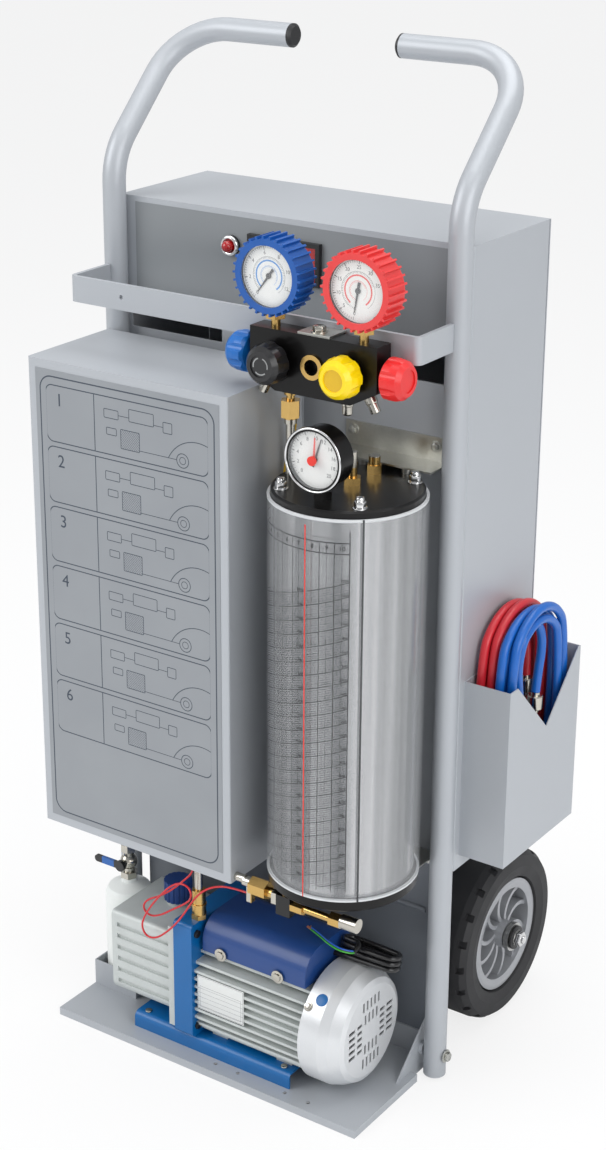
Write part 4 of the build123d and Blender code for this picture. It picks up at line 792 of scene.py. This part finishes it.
def hose_points(x_low, first, last, swell):
    """Up from the first coupling and over, nearly three turns in two lanes, and down to the last coupling.

    The middle turns are wider by a lane, and swell loosens them by some millimetres.
    """
    points = [(x_low + 11, first[0], first[1])]
    for x, y, z in rising_part:
        points.append((x_low + x, y + (first[0] - coupling_y) * (1 - shift(z, first[1], arch_top)), z))
    points += [(x_low + x, y, z) for x, y, z in top_part]
    for degrees in range(165, 1220, 15):
        outward = shift(degrees, 330, 390) - shift(degrees, 970, 1030)
        across = first_lane + lane * shift(degrees, 640, 690)
        step_y, step_z = oval(degrees, coil_short + lane * outward, coil_long + lane * outward)
        loose = swell * math.sin(math.radians(degrees * 0.5 + 20)) * outward
        points.append((x_low + across, coil_y + step_y + loose, coil_z + step_z + loose * 0.6))
    points += [(x_low + 15, 66, 522), (x_low + 14, last[0] - 13, last[1] + 68),
               (x_low + 12, last[0] - 4, last[1] + 40), (x_low + 11, last[0], last[1] + 16),
               (x_low + 11, last[0], last[1])]
    return points


dress(nickel, "hose_couplings")
blue_rubber = surface("blue_hose_rubber", tone(16, 100, 190), 0.34, 0.0, 0.2, patch=0.02, drift=0.1)
red_rubber = surface("red_hose_rubber", tone(206, 38, 50), 0.36, 0.0, 0.2, patch=0.02, drift=0.1)
for name, finish, slot, x_low, first, last, swell in (
        ("red_hose", red_rubber, "red_rubber", 241.8, (140, 480), (88, 400), 2.0),
        ("blue_hose", blue_rubber, "blue_rubber", 266.8, (119, 472), (84, 430), 4.0)):
    points = hose_points(x_low, first, last, swell)
    hose = lay_cord(name + "_coil", points, 10.7, finish)
    dress(finish, name)
    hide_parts(name)
    at(*points[0])
    round(run_length(points), 2)

roll = math.radians(18)
hank_x, hank_short, hank_long = 170.5, 11.6, 36.4
hank_low, hank_rise = 78, 6.7


def beside_cover(x, across, out):
    """A point out from the pump's axis on the hank's middle plane, and across that plane."""
    return (x, pump_y + out * math.sin(roll) + across * math.cos(roll),
            pump_z + out * math.cos(roll) - across * math.sin(roll))


lead_points = [beside_cover(126, -11.6, 77), beside_cover(136, -11.6, 77.5), beside_cover(147, -11.6, 78)]
for degrees in range(-60, 976, 15):
    step_y, step_x = oval(90 - degrees, hank_short, hank_long)
    out = hank_low + hank_rise * (degrees + 90) / 360
    lead_points.append(beside_cover(hank_x + step_x, step_y, out))
lead_points += [beside_cover(157, -12.6, 98), beside_cover(161.5, -17, 97), beside_cover(163, -22, 94.5),
                beside_cover(163, -28, 90.3)]
lead_rubber = surface("lead_rubber", tone(22, 22, 24), 0.3, 0.0, 0.3, patch=0.02, drift=0.15, depth=0.00002)
lead = lay_cord("mains_lead", lead_points, 6.5, lead_rubber)
dress(lead_rubber, "mains_coil", "mains_tail")

bare_route = [beside_cover(163, -26, 91.3), beside_cover(163, -28.5, 90), (153, -90, 189.5),
              (137, -91, 193.5), (120, -85, 196), (104, -79, 196)]
wires = []
for label, colour, offset in (
        ("blue", tone(20, 90, 190), (0, 0, 1.5)), ("green", tone(60, 170, 50), (0, -1.4, -0.6)),
        ("brown", tone(120, 74, 50), (0, 1.2, -0.9))):
    wire_points = [tuple(a + b for a, b in zip(place, offset)) for place in bare_route]
    skin = surface("wire_" + label, colour, 0.35, 0.0, 0.2, patch=0.01, drift=0.08, depth=0.00001)
    wires.append(lay_cord("wire_" + label, wire_points, 2.0, skin))
    tip_end = (98 + offset[2] * 2, -76.5 + offset[1], 196 + offset[2])
    copper = surface("copper_" + label, tone(214, 140, 104), 0.3, 1.0)
    wires.append(lay_cord("tip_" + label, [wire_points[-1], tip_end], 1.5, copper))
for wire in wires:
    bpy.ops.object.select_all(action="DESELECT")
    wire.select_set(True)
    bpy.context.view_layer.objects.active = wire
    bpy.ops.object.convert(target="MESH")
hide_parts("mains_coil")
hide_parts("mains_tail")
at(*lead_points[0])
round(run_length(lead_points), 2)

yellow_route = [(80, -96, 855), (79, -88, 840), (73, -74, 822), (64, -63, 801), (57, -59, 775),
                (54, -59, 750), (51, -60, 730), (43.6, -60, 716)]
yellow_rubber = surface("yellow_hose_rubber", tone(232, 184, 28), 0.36, 0.0, 0.2, patch=0.02, drift=0.1)
link = lay_cord("yellow_hose", yellow_route, 8, yellow_rubber)
at(*yellow_route[0])
round(run_length(yellow_route), 2)

wire_route = [(-22, -139, 271), (-22, -139, 258), (-38, -139.5, 240), (-56, -140, 222), (-74, -140, 208),
              (-92, -140.3, 198), (-99, -140.8, 186), (-89, -141.4, 177), (-71, -142, 184),
              (-52, -142.6, 199), (-34, -143.2, 212), (-22, -143.8, 224), (-24, -144.4, 238),
              (-38, -145, 241), (-53, -145.5, 231), (-67, -145.8, 215), (-80, -146, 198),
              (-91, -146.2, 180), (-97, -146.4, 163), (-89, -146.6, 151), (-74, -146.8, 154),
              (-58, -147.2, 168), (-43, -147.6, 185), (-30, -148, 204), (-18, -148, 224),
              (-4, -147.6, 242), (14, -146.8, 254), (36, -145.6, 260), (60.6, -145, 260)]
wire_skin = surface("sensor_wire_skin", tone(206, 30, 40), 0.34, 0.0, 0.2, patch=0.01, drift=0.08,
                    depth=0.00001)
sensor = lay_cord("sensor_lead", wire_route, 2.4, wire_skin)
dress(wire_skin, "sensor_wire")
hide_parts("sensor_wire")
at(*wire_route[0])
